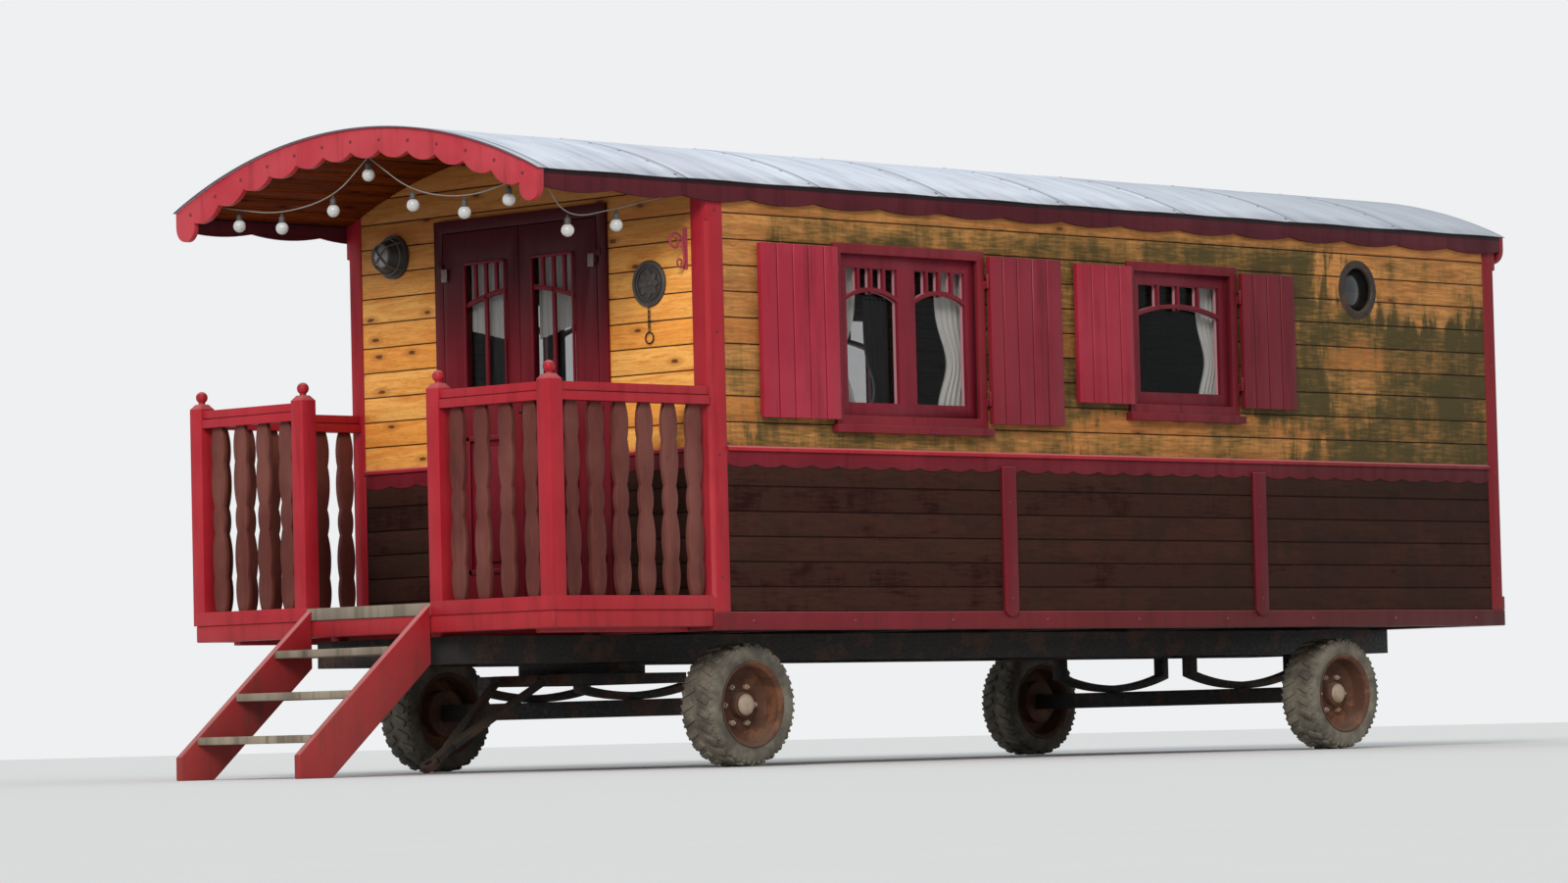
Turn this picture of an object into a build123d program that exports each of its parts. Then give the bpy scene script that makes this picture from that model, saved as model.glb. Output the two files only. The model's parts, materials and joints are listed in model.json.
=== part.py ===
from build123d import *
import os
from math import asin, cos, degrees, pi, radians, sin, sqrt, tan

os.makedirs("parts", exist_ok=True)

# Sizes in millimetres. X runs along the wagon, porch towards -X; +Y is the far side; Z is up.
# The ground is Z = 0 and the origin lies under the middle of the whole wagon.

# Wheels and axles
WHEEL_R = 285
TYRE_W = 210
RIM_R = 185
RIM_T = 8
RIM_LIP = 14
HUB_R = 58
STUB_R = 28
WHEEL_OUTER_Y = 1150
AXLE_S = 80
FRONT_AXLE_X = 335
REAR_AXLE_X = 4620
SPRING_T = 36
SPRING_W = 60
REAR_SPRING_DROP = 70
HANGER_L = 50
HANGER_LAP = 20
HANGER_BEHIND = 60
FRONT_SPRING_L = 680
REAR_SPRING_L = 860
SPRING_Y = 330
STEER_RAIL_H = 50
STEER_RAIL_W = 60
STEER_CROSS_W = 60
STEER_BEAM_W = 40
RING_T = 25
RING_R = 300
RING_W = 55
KING_PIN_R = 26
KING_PIN_OVER = 14
DRUM_R = 112
DRUM_IN = 80
HUB_END = 26
HUB_CAP_L = 26
HUB_CAP_SIDE = 14
HUB_CAP_EDGE = 22
BEAM_GAP = 6
STUB_SHORT = 4
DISH_IN = 50
DISC_FACE = {"hub": 2, "dish": -12, "rim": 8}
DISC_BACK = {"rim": -4, "dish": -22, "drum": -20}
RIM_STEP = 18
BEAD_SEAT_IN = 20
LIP_T = 6
LIP_IN = 2
BEAD_IN = 22
BEAD_H = 16
BEAD_SIDE = 6
SHOULDER_H = 22
SHOULDER_IN = 10
TREAD_IN = 30

# Heights, stacked from the axle up
SUSPENSION_H = 175
CHASSIS_H = 125
SILL_H = 83
LOWER_WALL_H = 692
MID_RAIL_H = 57
UPPER_WALL_H = 1224
ROOF_RISE = 288
FLOOR_T = 70

# Body
BODY_L = 5840
BODY_W = 2500
WALL_T = 60
BOARD_INSET = 12
CORNER_POST = 104
ABOVE_EAVE = 60
SILL_W = 110
CHASSIS_Y = 450
CHASSIS_W = 70
CHASSIS_FRONT = 110
CHASSIS_REAR = 40
CROSS_W = 60
CROSS_SHARES = (0.28, 0.46, 0.64)
CROSS_REAR = 60
BATTEN_W = 96
BATTEN_PROUD = 14
BATTEN_LAP = 28
APRON_H = 30
APRON_PITCH = 180

# Roof
EAVE_OUT = 25
SHEET_T = 5
ROOF_BOARD_T = 25
ROOF_FRONT = 1047
ROOF_REAR = 53
SHEET_DRIP = 14
BARGE_T = 28
BARGE_NOTCH = 104
BARGE_BELLY = 138
BARGE_BAYS = 12
LOBE_R = 66
LOBE_INSET = 1
LOBE_DROP = 76
VALANCE_T = 18
VALANCE_H = 98
VALANCE_SCALLOP = 20
VALANCE_PITCH = 430

# Porch
PORCH_D = 1000
DECK_T = 30
DECK_BOARD_W = 120
DECK_BOARD_GAP = 6
FASCIA_H = 78
FASCIA_INSET = 8
BOTTOM_RAIL_H = 63
BOTTOM_RAIL_W = 96
RAIL_FOOT_UP = 6
POST_S = 82
POST_SHOULDER = 10
POST_TOP = 34
POST_TAPER = 38
BALL_R = 28
BALL_SEAT = 0.8
NECK_R = 16
NECK_H = 10
NECK_LAP = 4
RAIL_TOP_H = 959
RAIL_H = 40
RAIL_W = 64
SECOND_RAIL_H = 42
SECOND_RAIL_W = 76
OPENING_W = 862
BALUSTER_T = 24
FRONT_BALUSTERS = 4
SIDE_BALUSTERS = 6

# Stair
STAIR_SLOPE = 40
STRINGER_T = 38
STRINGER_W = 205
STRINGER_NOSE = 105
STRINGER_DROP = 10
TREAD_T = 36
TREAD_D = 235
TREAD_NOSE = 12
TREADS = 3

# Door
DOOR_FRAME_W = 1190
DOOR_JAMB = 58
DOOR_HEAD_DROP = 51
DOOR_PROUD = 15
DOOR_T = 40
DOOR_GAP = 5
DOOR_STOP = 16
DOOR_FOOT = 8
DOOR_HINGE_IN = 180
DOOR_HINGE_L = 34
JAMB_HINGE_L = 30
STILE_OUT = 150
STILE_IN = 86
TOP_STILE = 148
LOCK_RAIL_UP = 812
LOCK_RAIL_H = 150
KICK_RAIL_H = 150
PANEL_T = 24
GLASS_T = 6

# Windows and shutters
CASING_T = 24
CASING_W = 46
SASH_T = 36
SASH_W = 62
MULLION_W = 60
BAR_W = 20
BAR_SHARES = (0.25, 0.5, 0.75)
BAR_THIN = 0.8
SILL_PROUD = 26
SHUTTER_T = 28
WINDOW_HIGH = 972
WINDOW_1_X = 1333
WINDOW_1_HALF = 515
WINDOW_1_LOW = 122
WINDOW_2_X = 3300
WINDOW_2_HALF = 412
WINDOW_2_LOW = 223
SHUTTERS_1_LOW = 144
SHUTTERS_1_HIGH = 948
SHUTTERS_2_LOW = 263
SHUTTERS_2_HIGH = 941
SHUTTER_HINGE_IN = 120
WINDOW_SILL_H = 36
WINDOW_SILL_OVER = 20
GLASS_LAP = 10
SASH_SET = 6
TRANSOM_H = 110
TRANSOM_RISE = 45
SHUTTER_GAP = 6
SHUTTER_EDGE = 8
SHUTTER_MEET = 3
SHUTTER_HINGE_L = 24
KNUCKLE_R = 7
KNUCKLE_H = 34
HINGE_T = 10
PIN_GAP = 0.4

# Lights
CABLE_D = 6
BEND_SHARE = 0.45
BULB_R = 30
SOCKET_R = 15
SOCKET_NECK_R = 2
SOCKET_NECK_H = 20
SOCKET_GAP = 0.05
SOCKET_H = 46
HOOK_R = 15
EYE_RING = 11
EYE_WIRE = 2.2
GLAND_R = 12
GLAND_T = 14
CAP_H = 28

# Running clearances
SEAT_GAP = 0.3
HUB_GAP = 0.5

# Worked out from the sizes above
AXLE_Z = WHEEL_R
CHASSIS_Z = AXLE_Z + AXLE_S / 2 + SUSPENSION_H
SILL_Z = CHASSIS_Z + CHASSIS_H
SILL_TOP = SILL_Z + SILL_H
DECK_Z = SILL_TOP + FLOOR_T
MID_RAIL_Z = SILL_TOP + LOWER_WALL_H
UPPER_Z = MID_RAIL_Z + MID_RAIL_H
EAVE_Z = UPPER_Z + UPPER_WALL_H
ROOF_W = BODY_W + 2 * EAVE_OUT
ROOF_R = (ROOF_W**2 / 4 + ROOF_RISE**2) / (2 * ROOF_RISE)
ROOF_CZ = EAVE_Z + ROOF_RISE - ROOF_R
UNDER_ROOF_R = ROOF_R - SHEET_T - ROOF_BOARD_T
DOOR_HEAD_Z = EAVE_Z - DOOR_HEAD_DROP
LOCK_RAIL_Z = DECK_Z + LOCK_RAIL_UP
HALF_W = BODY_W / 2
WALL_OUT = HALF_W - BOARD_INSET
WALL_IN = WALL_OUT - WALL_T

STRINGER_TOP = DECK_Z - STRINGER_DROP
STAIR_RUN = (STRINGER_TOP - STRINGER_NOSE) / tan(radians(STAIR_SLOPE))
STAIR_REACH = PORCH_D + STAIR_RUN
FRONT = (STAIR_REACH - BODY_L - ROOF_REAR - SHEET_DRIP) / 2
REAR = FRONT + BODY_L
PORCH_X = FRONT - PORCH_D
ROOF_X0 = FRONT - ROOF_FRONT
ROOF_X1 = REAR + ROOF_REAR
AXLE_X = {"front": FRONT + FRONT_AXLE_X, "rear": FRONT + REAR_AXLE_X}
WHEEL_Y = WHEEL_OUTER_Y - TYRE_W / 2
MIRROR = {"left": -1, "right": 1}


def save(builder, name):
    builder.part.label = name
    export_step(builder.part, f"parts/{name}.step")


def block(x, y, z, mode=Mode.ADD):
    """A box between two values on each axis, given in either order."""
    with Locations(((x[0] + x[1]) / 2, (y[0] + y[1]) / 2, (z[0] + z[1]) / 2)):
        Box(abs(x[1] - x[0]), abs(y[1] - y[0]), abs(z[1] - z[0]), mode=mode)


def sided(side, *values):
    """Distances from the middle plane as Y values on the named side."""
    return tuple(MIRROR[side] * value for value in values)


def fit_under_roof(x, radius=UNDER_ROOF_R - SEAT_GAP):
    """Keeps only what lies below the arch of the roof."""
    with BuildSketch(Plane.YZ.offset(x[0])) as disc:
        with Locations((0, ROOF_CZ)):
            Circle(radius)
    extrude(disc.sketch, amount=x[1] - x[0], mode=Mode.INTERSECT)


def roof_z(y, radius):
    return ROOF_CZ + sqrt(radius**2 - y**2)


def on_roof(radius, angle):
    """Point of the YZ plane at an angle in degrees from the top of an arch."""
    return (radius * sin(radians(angle)), ROOF_CZ + radius * cos(radians(angle)))


def arch(outer, inner, half_width, x):
    """A curved plate with the roof's centre, between two radii."""
    angle = degrees(asin(half_width / outer))
    with BuildSketch(Plane.YZ.offset(x[0])) as profile:
        with BuildLine():
            ThreePointArc(on_roof(outer, -angle), on_roof(outer, 0), on_roof(outer, angle))
            Line(on_roof(outer, angle), on_roof(inner, angle))
            ThreePointArc(on_roof(inner, angle), on_roof(inner, 0), on_roof(inner, -angle))
            Line(on_roof(inner, -angle), on_roof(outer, -angle))
        make_face()
    extrude(profile.sketch, amount=x[1] - x[0])


def scalloped(start, end, top, bottom, depth, pitch):
    """Outline of a board whose lower edge hangs in equal round scallops."""
    count = max(1, round((end - start) / pitch))
    step = (end - start) / count
    with BuildSketch(mode=Mode.PRIVATE) as outline:
        with BuildLine():
            Polyline((start, bottom + depth), (start, top), (end, top), (end, bottom + depth))
            for index in range(count):
                right = end - index * step
                ThreePointArc(
                    (right, bottom + depth),
                    (right - step / 2, bottom),
                    (right - step, bottom + depth),
                )
        make_face()
    return outline.sketch


# Chassis: two rails, cross members and outriggers under the floor, and the upper turntable ring
CHASSIS_X0 = PORCH_X + CHASSIS_FRONT
CROSS_XS = [
    CHASSIS_X0 + CROSS_W / 2,
    AXLE_X["front"] - RING_R + RING_W / 2,
    AXLE_X["front"] + RING_R - RING_W / 2,
    *(FRONT + BODY_L * share for share in CROSS_SHARES),
    AXLE_X["rear"] + REAR_SPRING_L / 2 + HANGER_BEHIND,
    REAR - CROSS_REAR,
]
with BuildPart() as chassis_frame:
    for side in MIRROR:
        rail = sided(side, CHASSIS_Y - CHASSIS_W / 2, CHASSIS_Y + CHASSIS_W / 2)
        block((CHASSIS_X0, REAR - CHASSIS_REAR), rail, (CHASSIS_Z, SILL_Z))
    for cross_x in CROSS_XS:
        across = (cross_x - CROSS_W / 2, cross_x + CROSS_W / 2)
        block(across, (-CHASSIS_Y, CHASSIS_Y), (CHASSIS_Z, SILL_Z))
    for cross_x in CROSS_XS[2:-1]:
        across = (cross_x - CROSS_W / 2, cross_x + CROSS_W / 2)
        inner = HALF_W - SILL_W
        block(across, (-inner, inner), (SILL_Z, SILL_TOP))
    with BuildSketch(Plane.XY.offset(CHASSIS_Z)) as ring:
        with Locations((AXLE_X["front"], 0)):
            Circle(RING_R)
            Circle(RING_R - RING_W, mode=Mode.SUBTRACT)
            Rectangle(2 * RING_R - RING_W, RING_W * 2)
            Circle(KING_PIN_R + HUB_GAP, mode=Mode.SUBTRACT)
    extrude(ring.sketch, amount=-RING_T)
save(chassis_frame, "chassis_frame")

# Sill frame and floor
with BuildPart() as sill_frame:
    block((FRONT, REAR), (-HALF_W, HALF_W), (SILL_Z, SILL_TOP))
    block(
        (FRONT + SILL_W, REAR - SILL_W),
        (-HALF_W + SILL_W, HALF_W - SILL_W),
        (SILL_Z, SILL_TOP),
        mode=Mode.SUBTRACT,
    )
save(sill_frame, "sill_frame")

with BuildPart() as floor:
    block(
        (FRONT + BOARD_INSET + WALL_T, REAR - BOARD_INSET - WALL_T),
        (-WALL_IN, WALL_IN),
        (SILL_TOP, DECK_Z),
    )
    for end_x in ((FRONT, FRONT + CORNER_POST), (REAR - CORNER_POST, REAR)):
        for side in MIRROR:
            block(
                end_x,
                sided(side, HALF_W - CORNER_POST, HALF_W),
                (SILL_TOP, DECK_Z),
                mode=Mode.SUBTRACT,
            )
save(floor, "floor")

# Corner posts
with BuildPart() as corner_posts:
    for end_x in ((FRONT, FRONT + CORNER_POST), (REAR - CORNER_POST, REAR)):
        for side in MIRROR:
            block(end_x, sided(side, HALF_W - CORNER_POST, HALF_W), (SILL_TOP, EAVE_Z + ABOVE_EAVE))
    fit_under_roof((FRONT, REAR))
save(corner_posts, "corner_posts")

# Windows: middle of the casing from the front wall, half width, lower and upper edge above the
# mid rail, number of sashes, lower and upper edge of the shutters
WINDOWS = [
    {
        "name": "1",
        "x": WINDOW_1_X,
        "half": WINDOW_1_HALF,
        "low": WINDOW_1_LOW,
        "high": WINDOW_HIGH,
        "sashes": 2,
        "shut": (SHUTTERS_1_LOW, SHUTTERS_1_HIGH),
    },
    {
        "name": "2",
        "x": WINDOW_2_X,
        "half": WINDOW_2_HALF,
        "low": WINDOW_2_LOW,
        "high": WINDOW_HIGH,
        "sashes": 1,
        "shut": (SHUTTERS_2_LOW, SHUTTERS_2_HIGH),
    },
]
REAR_WINDOW = {"half": WINDOW_2_HALF, "low": WINDOW_2_LOW, "high": WINDOW_HIGH}
PORTHOLE = {"x": 4689, "z": 898, "r": 125, "ring": 28, "lip": 14, "proud": 16, "back": 10}
SPAN_X = (FRONT + CORNER_POST, REAR - CORNER_POST)
SPAN_Y = HALF_W - CORNER_POST
DOOR_HALF = DOOR_FRAME_W / 2

# Walls, split at the mid rail
for side in MIRROR:
    wall_y = sided(side, WALL_IN, WALL_OUT)
    with BuildPart() as wall_lower:
        block(SPAN_X, wall_y, (SILL_TOP, MID_RAIL_Z))
    save(wall_lower, f"wall_{side}_lower")
    with BuildPart() as wall_upper:
        block(SPAN_X, wall_y, (UPPER_Z, EAVE_Z + ABOVE_EAVE))
        for window in WINDOWS:
            middle = FRONT + window["x"]
            hole = window["half"] - CASING_W
            block(
                (middle - hole, middle + hole),
                wall_y,
                (UPPER_Z + window["low"] + CASING_W, UPPER_Z + window["high"] - CASING_W),
                mode=Mode.SUBTRACT,
            )
        if side == "left":
            with BuildSketch(Plane.XZ.offset(-wall_y[0])) as hole_round:
                with Locations((FRONT + PORTHOLE["x"], UPPER_Z + PORTHOLE["z"])):
                    Circle(PORTHOLE["r"])
            extrude(hole_round.sketch, amount=WALL_T, both=True, mode=Mode.SUBTRACT)
        fit_under_roof(SPAN_X)
    save(wall_upper, f"wall_{side}_upper")

FRONT_WALL_X = (FRONT + BOARD_INSET, FRONT + BOARD_INSET + WALL_T)
REAR_WALL_X = (REAR - BOARD_INSET - WALL_T, REAR - BOARD_INSET)
with BuildPart() as wall_front_lower:
    for side in MIRROR:
        block(FRONT_WALL_X, sided(side, DOOR_HALF, SPAN_Y), (SILL_TOP, MID_RAIL_Z))
save(wall_front_lower, "wall_front_lower")

with BuildPart() as wall_front_upper:
    block(FRONT_WALL_X, (-SPAN_Y, SPAN_Y), (UPPER_Z, EAVE_Z + ROOF_RISE))
    block(FRONT_WALL_X, (-DOOR_HALF, DOOR_HALF), (UPPER_Z, DOOR_HEAD_Z), mode=Mode.SUBTRACT)
    fit_under_roof(FRONT_WALL_X)
save(wall_front_upper, "wall_front_upper")

with BuildPart() as wall_rear_lower:
    block(REAR_WALL_X, (-SPAN_Y, SPAN_Y), (SILL_TOP, MID_RAIL_Z))
save(wall_rear_lower, "wall_rear_lower")

with BuildPart() as wall_rear_upper:
    block(REAR_WALL_X, (-SPAN_Y, SPAN_Y), (UPPER_Z, EAVE_Z + ROOF_RISE))
    rear_hole = REAR_WINDOW["half"] - CASING_W
    block(
        REAR_WALL_X,
        (-rear_hole, rear_hole),
        (UPPER_Z + REAR_WINDOW["low"] + CASING_W, UPPER_Z + REAR_WINDOW["high"] - CASING_W),
        mode=Mode.SUBTRACT,
    )
    fit_under_roof(REAR_WALL_X)
save(wall_rear_upper, "wall_rear_upper")

# Mid rail all round, with a scalloped apron over the lower boards
with BuildPart() as mid_rails:
    for side in MIRROR:
        block(SPAN_X, sided(side, WALL_IN, HALF_W), (MID_RAIL_Z, UPPER_Z))
        apron = scalloped(
            SPAN_X[0], SPAN_X[1], MID_RAIL_Z, MID_RAIL_Z - APRON_H, APRON_H / 2, APRON_PITCH
        )
        extrude(Plane.XZ.offset(-sided(side, WALL_OUT)[0]) * apron, amount=-MIRROR[side] * BOARD_INSET)
    for side in MIRROR:
        low, high = sorted(sided(side, DOOR_HALF, SPAN_Y))
        block((FRONT, FRONT_WALL_X[1]), (low, high), (MID_RAIL_Z, UPPER_Z))
        apron = scalloped(low, high, MID_RAIL_Z, MID_RAIL_Z - APRON_H, APRON_H / 2, APRON_PITCH)
        extrude(Plane.YZ.offset(FRONT) * apron, amount=BOARD_INSET)
    block((REAR_WALL_X[0], REAR), (-SPAN_Y, SPAN_Y), (MID_RAIL_Z, UPPER_Z))
    apron = scalloped(-SPAN_Y, SPAN_Y, MID_RAIL_Z, MID_RAIL_Z - APRON_H, APRON_H / 2, APRON_PITCH)
    extrude(Plane.YZ.offset(REAR - BOARD_INSET) * apron, amount=BOARD_INSET)
save(mid_rails, "mid_rails")

# Upright battens on the lower boards
BATTEN_XS = (1990, 3850)
with BuildPart() as lower_battens:
    for side in MIRROR:
        for batten in BATTEN_XS:
            middle = FRONT + batten
            block(
                (middle - BATTEN_W / 2, middle + BATTEN_W / 2),
                sided(side, WALL_OUT, HALF_W),
                (SILL_TOP, MID_RAIL_Z - APRON_H),
            )
            left, right = middle - BATTEN_W / 2, middle + BATTEN_W / 2
            with BuildSketch(Plane.XZ.offset(-sided(side, HALF_W)[0])) as strip:
                with BuildLine():
                    Polyline(
                        (left, SILL_TOP), (left, MID_RAIL_Z), (right, MID_RAIL_Z), (right, SILL_TOP)
                    )
                    ThreePointArc(
                        (right, SILL_TOP), (middle, SILL_TOP - BATTEN_LAP), (left, SILL_TOP)
                    )
                make_face()
            extrude(strip.sketch, amount=-MIRROR[side] * BATTEN_PROUD)
save(lower_battens, "lower_battens")

# Roof: boards, metal sheet, bargeboards at both ends, scalloped valances under the eaves
with BuildPart() as roof_boards:
    arch(
        ROOF_R - SHEET_T,
        UNDER_ROOF_R,
        HALF_W - SEAT_GAP,
        (ROOF_X0 + BARGE_T, ROOF_X1 - BARGE_T),
    )
save(roof_boards, "roof_boards")

with BuildPart() as roof_sheet:
    arch(ROOF_R, ROOF_R - SHEET_T, ROOF_W / 2, (ROOF_X0 - SHEET_DRIP, ROOF_X1 + SHEET_DRIP))
save(roof_sheet, "roof_sheet")


def bargeboard(x):
    """Arched end board with a scalloped lower edge and a round lobe at each end."""
    top = ROOF_R - SHEET_T - SEAT_GAP
    end_y = HALF_W + VALANCE_T
    end_angle = degrees(asin(end_y / top))
    lobe_y = end_y - LOBE_R - LOBE_INSET
    lobe_z = EAVE_Z - LOBE_DROP
    last = degrees(asin((lobe_y - LOBE_R) / (top - BARGE_NOTCH)))
    step = 2 * last / BARGE_BAYS
    with BuildSketch(Plane.YZ.offset(x[0])) as board:
        with BuildLine():
            ThreePointArc(on_roof(top, -end_angle), on_roof(top, 0), on_roof(top, end_angle))
            Polyline(
                on_roof(top, end_angle),
                (end_y, lobe_z),
                (lobe_y, lobe_z),
                on_roof(top - BARGE_NOTCH, last),
            )
            for bay in range(BARGE_BAYS):
                angle = last - bay * step
                ThreePointArc(
                    on_roof(top - BARGE_NOTCH, angle),
                    on_roof(top - BARGE_BELLY, angle - step / 2),
                    on_roof(top - BARGE_NOTCH, angle - step),
                )
            Polyline(
                on_roof(top - BARGE_NOTCH, -last),
                (-lobe_y, lobe_z),
                (-end_y, lobe_z),
                on_roof(top, -end_angle),
            )
        make_face()
        with Locations((lobe_y, lobe_z), (-lobe_y, lobe_z)):
            Circle(LOBE_R)
    extrude(board.sketch, amount=x[1] - x[0])


with BuildPart() as bargeboards:
    bargeboard((ROOF_X0, ROOF_X0 + BARGE_T))
    bargeboard((ROOF_X1 - BARGE_T, ROOF_X1))
save(bargeboards, "bargeboards")

VALANCE_TOP = roof_z(HALF_W + VALANCE_T, ROOF_R - SHEET_T) - SEAT_GAP
with BuildPart() as eave_valances:
    for side in MIRROR:
        board = scalloped(
            ROOF_X0 + BARGE_T,
            ROOF_X1 - BARGE_T,
            VALANCE_TOP,
            VALANCE_TOP - VALANCE_H,
            VALANCE_SCALLOP,
            VALANCE_PITCH,
        )
        extrude(Plane.XZ.offset(-sided(side, HALF_W)[0]) * board, amount=-MIRROR[side] * VALANCE_T)
save(eave_valances, "eave_valances")

# Porch platform
JOIST_TOP = DECK_Z - DECK_T
RAIL_FOOT = DECK_Z + RAIL_FOOT_UP
FOOT_Z = (RAIL_FOOT - BOTTOM_RAIL_H, RAIL_FOOT)
FASCIA_Z = (FOOT_Z[0] - FASCIA_H, FOOT_Z[0])
FASCIA_OUT = HALF_W - FASCIA_INSET
FASCIA_IN = HALF_W - BOTTOM_RAIL_W
JOIST_YS = (-1050, -350, 350, 1050)
JOIST_W = 50
with BuildPart() as porch_frame:
    block(
        (PORCH_X + FASCIA_INSET, PORCH_X + BOTTOM_RAIL_W),
        (-FASCIA_OUT, FASCIA_OUT),
        FASCIA_Z,
    )
    for side in MIRROR:
        block((PORCH_X + FASCIA_INSET, FRONT), sided(side, FASCIA_IN, FASCIA_OUT), FASCIA_Z)
    for joist_y in JOIST_YS:
        block(
            (PORCH_X + BOTTOM_RAIL_W, FRONT),
            (joist_y - JOIST_W / 2, joist_y + JOIST_W / 2),
            (SILL_Z, JOIST_TOP),
        )
save(porch_frame, "porch_frame")

with BuildPart() as porch_deck:
    count = int((PORCH_D - BOTTOM_RAIL_W) // DECK_BOARD_W)
    pitch = (PORCH_D - BOTTOM_RAIL_W) / count
    inner = HALF_W - BOTTOM_RAIL_W
    for index in range(count):
        right = FRONT - index * pitch
        block((right - pitch + DECK_BOARD_GAP, right), (-inner, inner), (JOIST_TOP, DECK_Z))
    block(
        (PORCH_X, PORCH_X + BOTTOM_RAIL_W),
        (-OPENING_W / 2, OPENING_W / 2),
        (FOOT_Z[0], DECK_Z),
    )
save(porch_deck, "porch_deck")

# Porch railing: posts with chamfered heads and balls, double top rail, bottom rail
RAIL_Z = DECK_Z + RAIL_TOP_H
POST_YS = {
    "corner": HALF_W - POST_S / 2,
    "inner": OPENING_W / 2 + POST_S / 2,
}
POST_X = PORCH_X + POST_S / 2
with BuildPart() as porch_posts:
    for side in MIRROR:
        for post_y in POST_YS.values():
            centre_y = MIRROR[side] * post_y
            block(
                (PORCH_X, PORCH_X + POST_S),
                (centre_y - POST_S / 2, centre_y + POST_S / 2),
                (RAIL_FOOT, RAIL_Z + POST_SHOULDER),
            )
            with BuildSketch(Plane.XY.offset(RAIL_Z + POST_SHOULDER)) as shoulder:
                with Locations((POST_X, centre_y)):
                    Rectangle(POST_S, POST_S)
            extrude(shoulder.sketch, amount=POST_TOP - POST_SHOULDER, taper=POST_TAPER)
            with Locations((POST_X, centre_y, RAIL_Z + POST_TOP + NECK_H / 2)):
                Cylinder(NECK_R, NECK_H + NECK_LAP)
            with Locations((POST_X, centre_y, RAIL_Z + POST_TOP + NECK_H + BALL_R * BALL_SEAT)):
                Sphere(BALL_R)
save(porch_posts, "porch_posts")

FRONT_GAP = (POST_YS["inner"] + POST_S / 2, POST_YS["corner"] - POST_S / 2)
SIDE_GAP = (PORCH_X + POST_S, FRONT)
SECOND_Z = (RAIL_Z - RAIL_H - SECOND_RAIL_H, RAIL_Z - RAIL_H)
with BuildPart() as porch_rails:
    rail_x = POST_X - SECOND_RAIL_W / 2, POST_X + SECOND_RAIL_W / 2
    cap_x = POST_X - RAIL_W / 2, POST_X + RAIL_W / 2
    for side in MIRROR:
        gap = sided(side, *FRONT_GAP)
        block(rail_x, gap, SECOND_Z)
        block(cap_x, gap, (RAIL_Z - RAIL_H, RAIL_Z))
        rail_y = sided(
            side, POST_YS["corner"] - SECOND_RAIL_W / 2, POST_YS["corner"] + SECOND_RAIL_W / 2
        )
        cap_y = sided(side, POST_YS["corner"] - RAIL_W / 2, POST_YS["corner"] + RAIL_W / 2)
        block(SIDE_GAP, rail_y, SECOND_Z)
        block(SIDE_GAP, cap_y, (RAIL_Z - RAIL_H, RAIL_Z))
        block((PORCH_X, PORCH_X + BOTTOM_RAIL_W), sided(side, OPENING_W / 2, HALF_W), FOOT_Z)
        block((PORCH_X, FRONT), sided(side, FASCIA_IN, HALF_W), FOOT_Z)
save(porch_rails, "porch_rails")

# Baluster outline from foot to head: share of the height, half width; even rows are bellies
BALUSTER_WAVE = [
    (0.00, 30),
    (0.09, 47),
    (0.19, 39),
    (0.30, 49),
    (0.43, 31),
    (0.50, 42),
    (0.57, 31),
    (0.70, 49),
    (0.81, 39),
    (0.91, 47),
    (1.00, 30),
]


def baluster_outline():
    height = SECOND_Z[0] - RAIL_FOOT
    points = [(half, share * height) for share, half in BALUSTER_WAVE]
    with BuildSketch(mode=Mode.PRIVATE) as outline:
        with BuildLine():
            for sign in (1, -1):
                for index in range(0, len(points) - 1, 2):
                    ThreePointArc(*[(sign * half, z) for half, z in points[index : index + 3]])
            Line(points[-1], (-points[-1][0], height))
            Line((-points[0][0], 0), points[0])
        make_face()
    return outline.sketch


BALUSTER = baluster_outline()
with BuildPart() as balusters:
    for side in MIRROR:
        low, high = sorted(sided(side, *FRONT_GAP))
        step = (high - low) / FRONT_BALUSTERS
        for index in range(FRONT_BALUSTERS):
            seat = Plane(
                origin=(POST_X + BALUSTER_T / 2, low + (index + 0.5) * step, RAIL_FOOT),
                x_dir=(0, 1, 0),
                z_dir=(1, 0, 0),
            )
            extrude(seat * BALUSTER, amount=-BALUSTER_T)
        step = (SIDE_GAP[1] - SIDE_GAP[0]) / SIDE_BALUSTERS
        for index in range(SIDE_BALUSTERS):
            seat = Plane(
                origin=(
                    SIDE_GAP[0] + (index + 0.5) * step,
                    MIRROR[side] * POST_YS["corner"] + BALUSTER_T / 2,
                    RAIL_FOOT,
                ),
                x_dir=(1, 0, 0),
                z_dir=(0, -1, 0),
            )
            extrude(seat * BALUSTER, amount=BALUSTER_T)
save(balusters, "balusters")

# Stair
SLOPE = radians(STAIR_SLOPE)
STRINGER_Y = OPENING_W / 2 - STRINGER_T


def down_slope(distance, below):
    """Point of the XZ plane along the stringer's top edge and square below it."""
    return (
        PORCH_X - distance * cos(SLOPE) + below * sin(SLOPE),
        STRINGER_TOP - distance * sin(SLOPE) - below * cos(SLOPE),
    )


with BuildPart() as stair_stringers:
    for side in MIRROR:
        nose_x = PORCH_X - STAIR_RUN
        heel = down_slope(0, STRINGER_W)
        ground_x = heel[0] - heel[1] / tan(SLOPE)
        with BuildSketch(Plane.XZ.offset(-sided(side, STRINGER_Y)[0])) as stringer:
            with BuildLine():
                Polyline(
                    (PORCH_X, STRINGER_TOP),
                    (nose_x, STRINGER_NOSE),
                    (nose_x, 0),
                    (ground_x, 0),
                    (PORCH_X, heel[1] - (heel[0] - PORCH_X) * tan(SLOPE)),
                    close=True,
                )
            make_face()
        extrude(stringer.sketch, amount=-MIRROR[side] * STRINGER_T)
save(stair_stringers, "stair_stringers")

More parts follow.
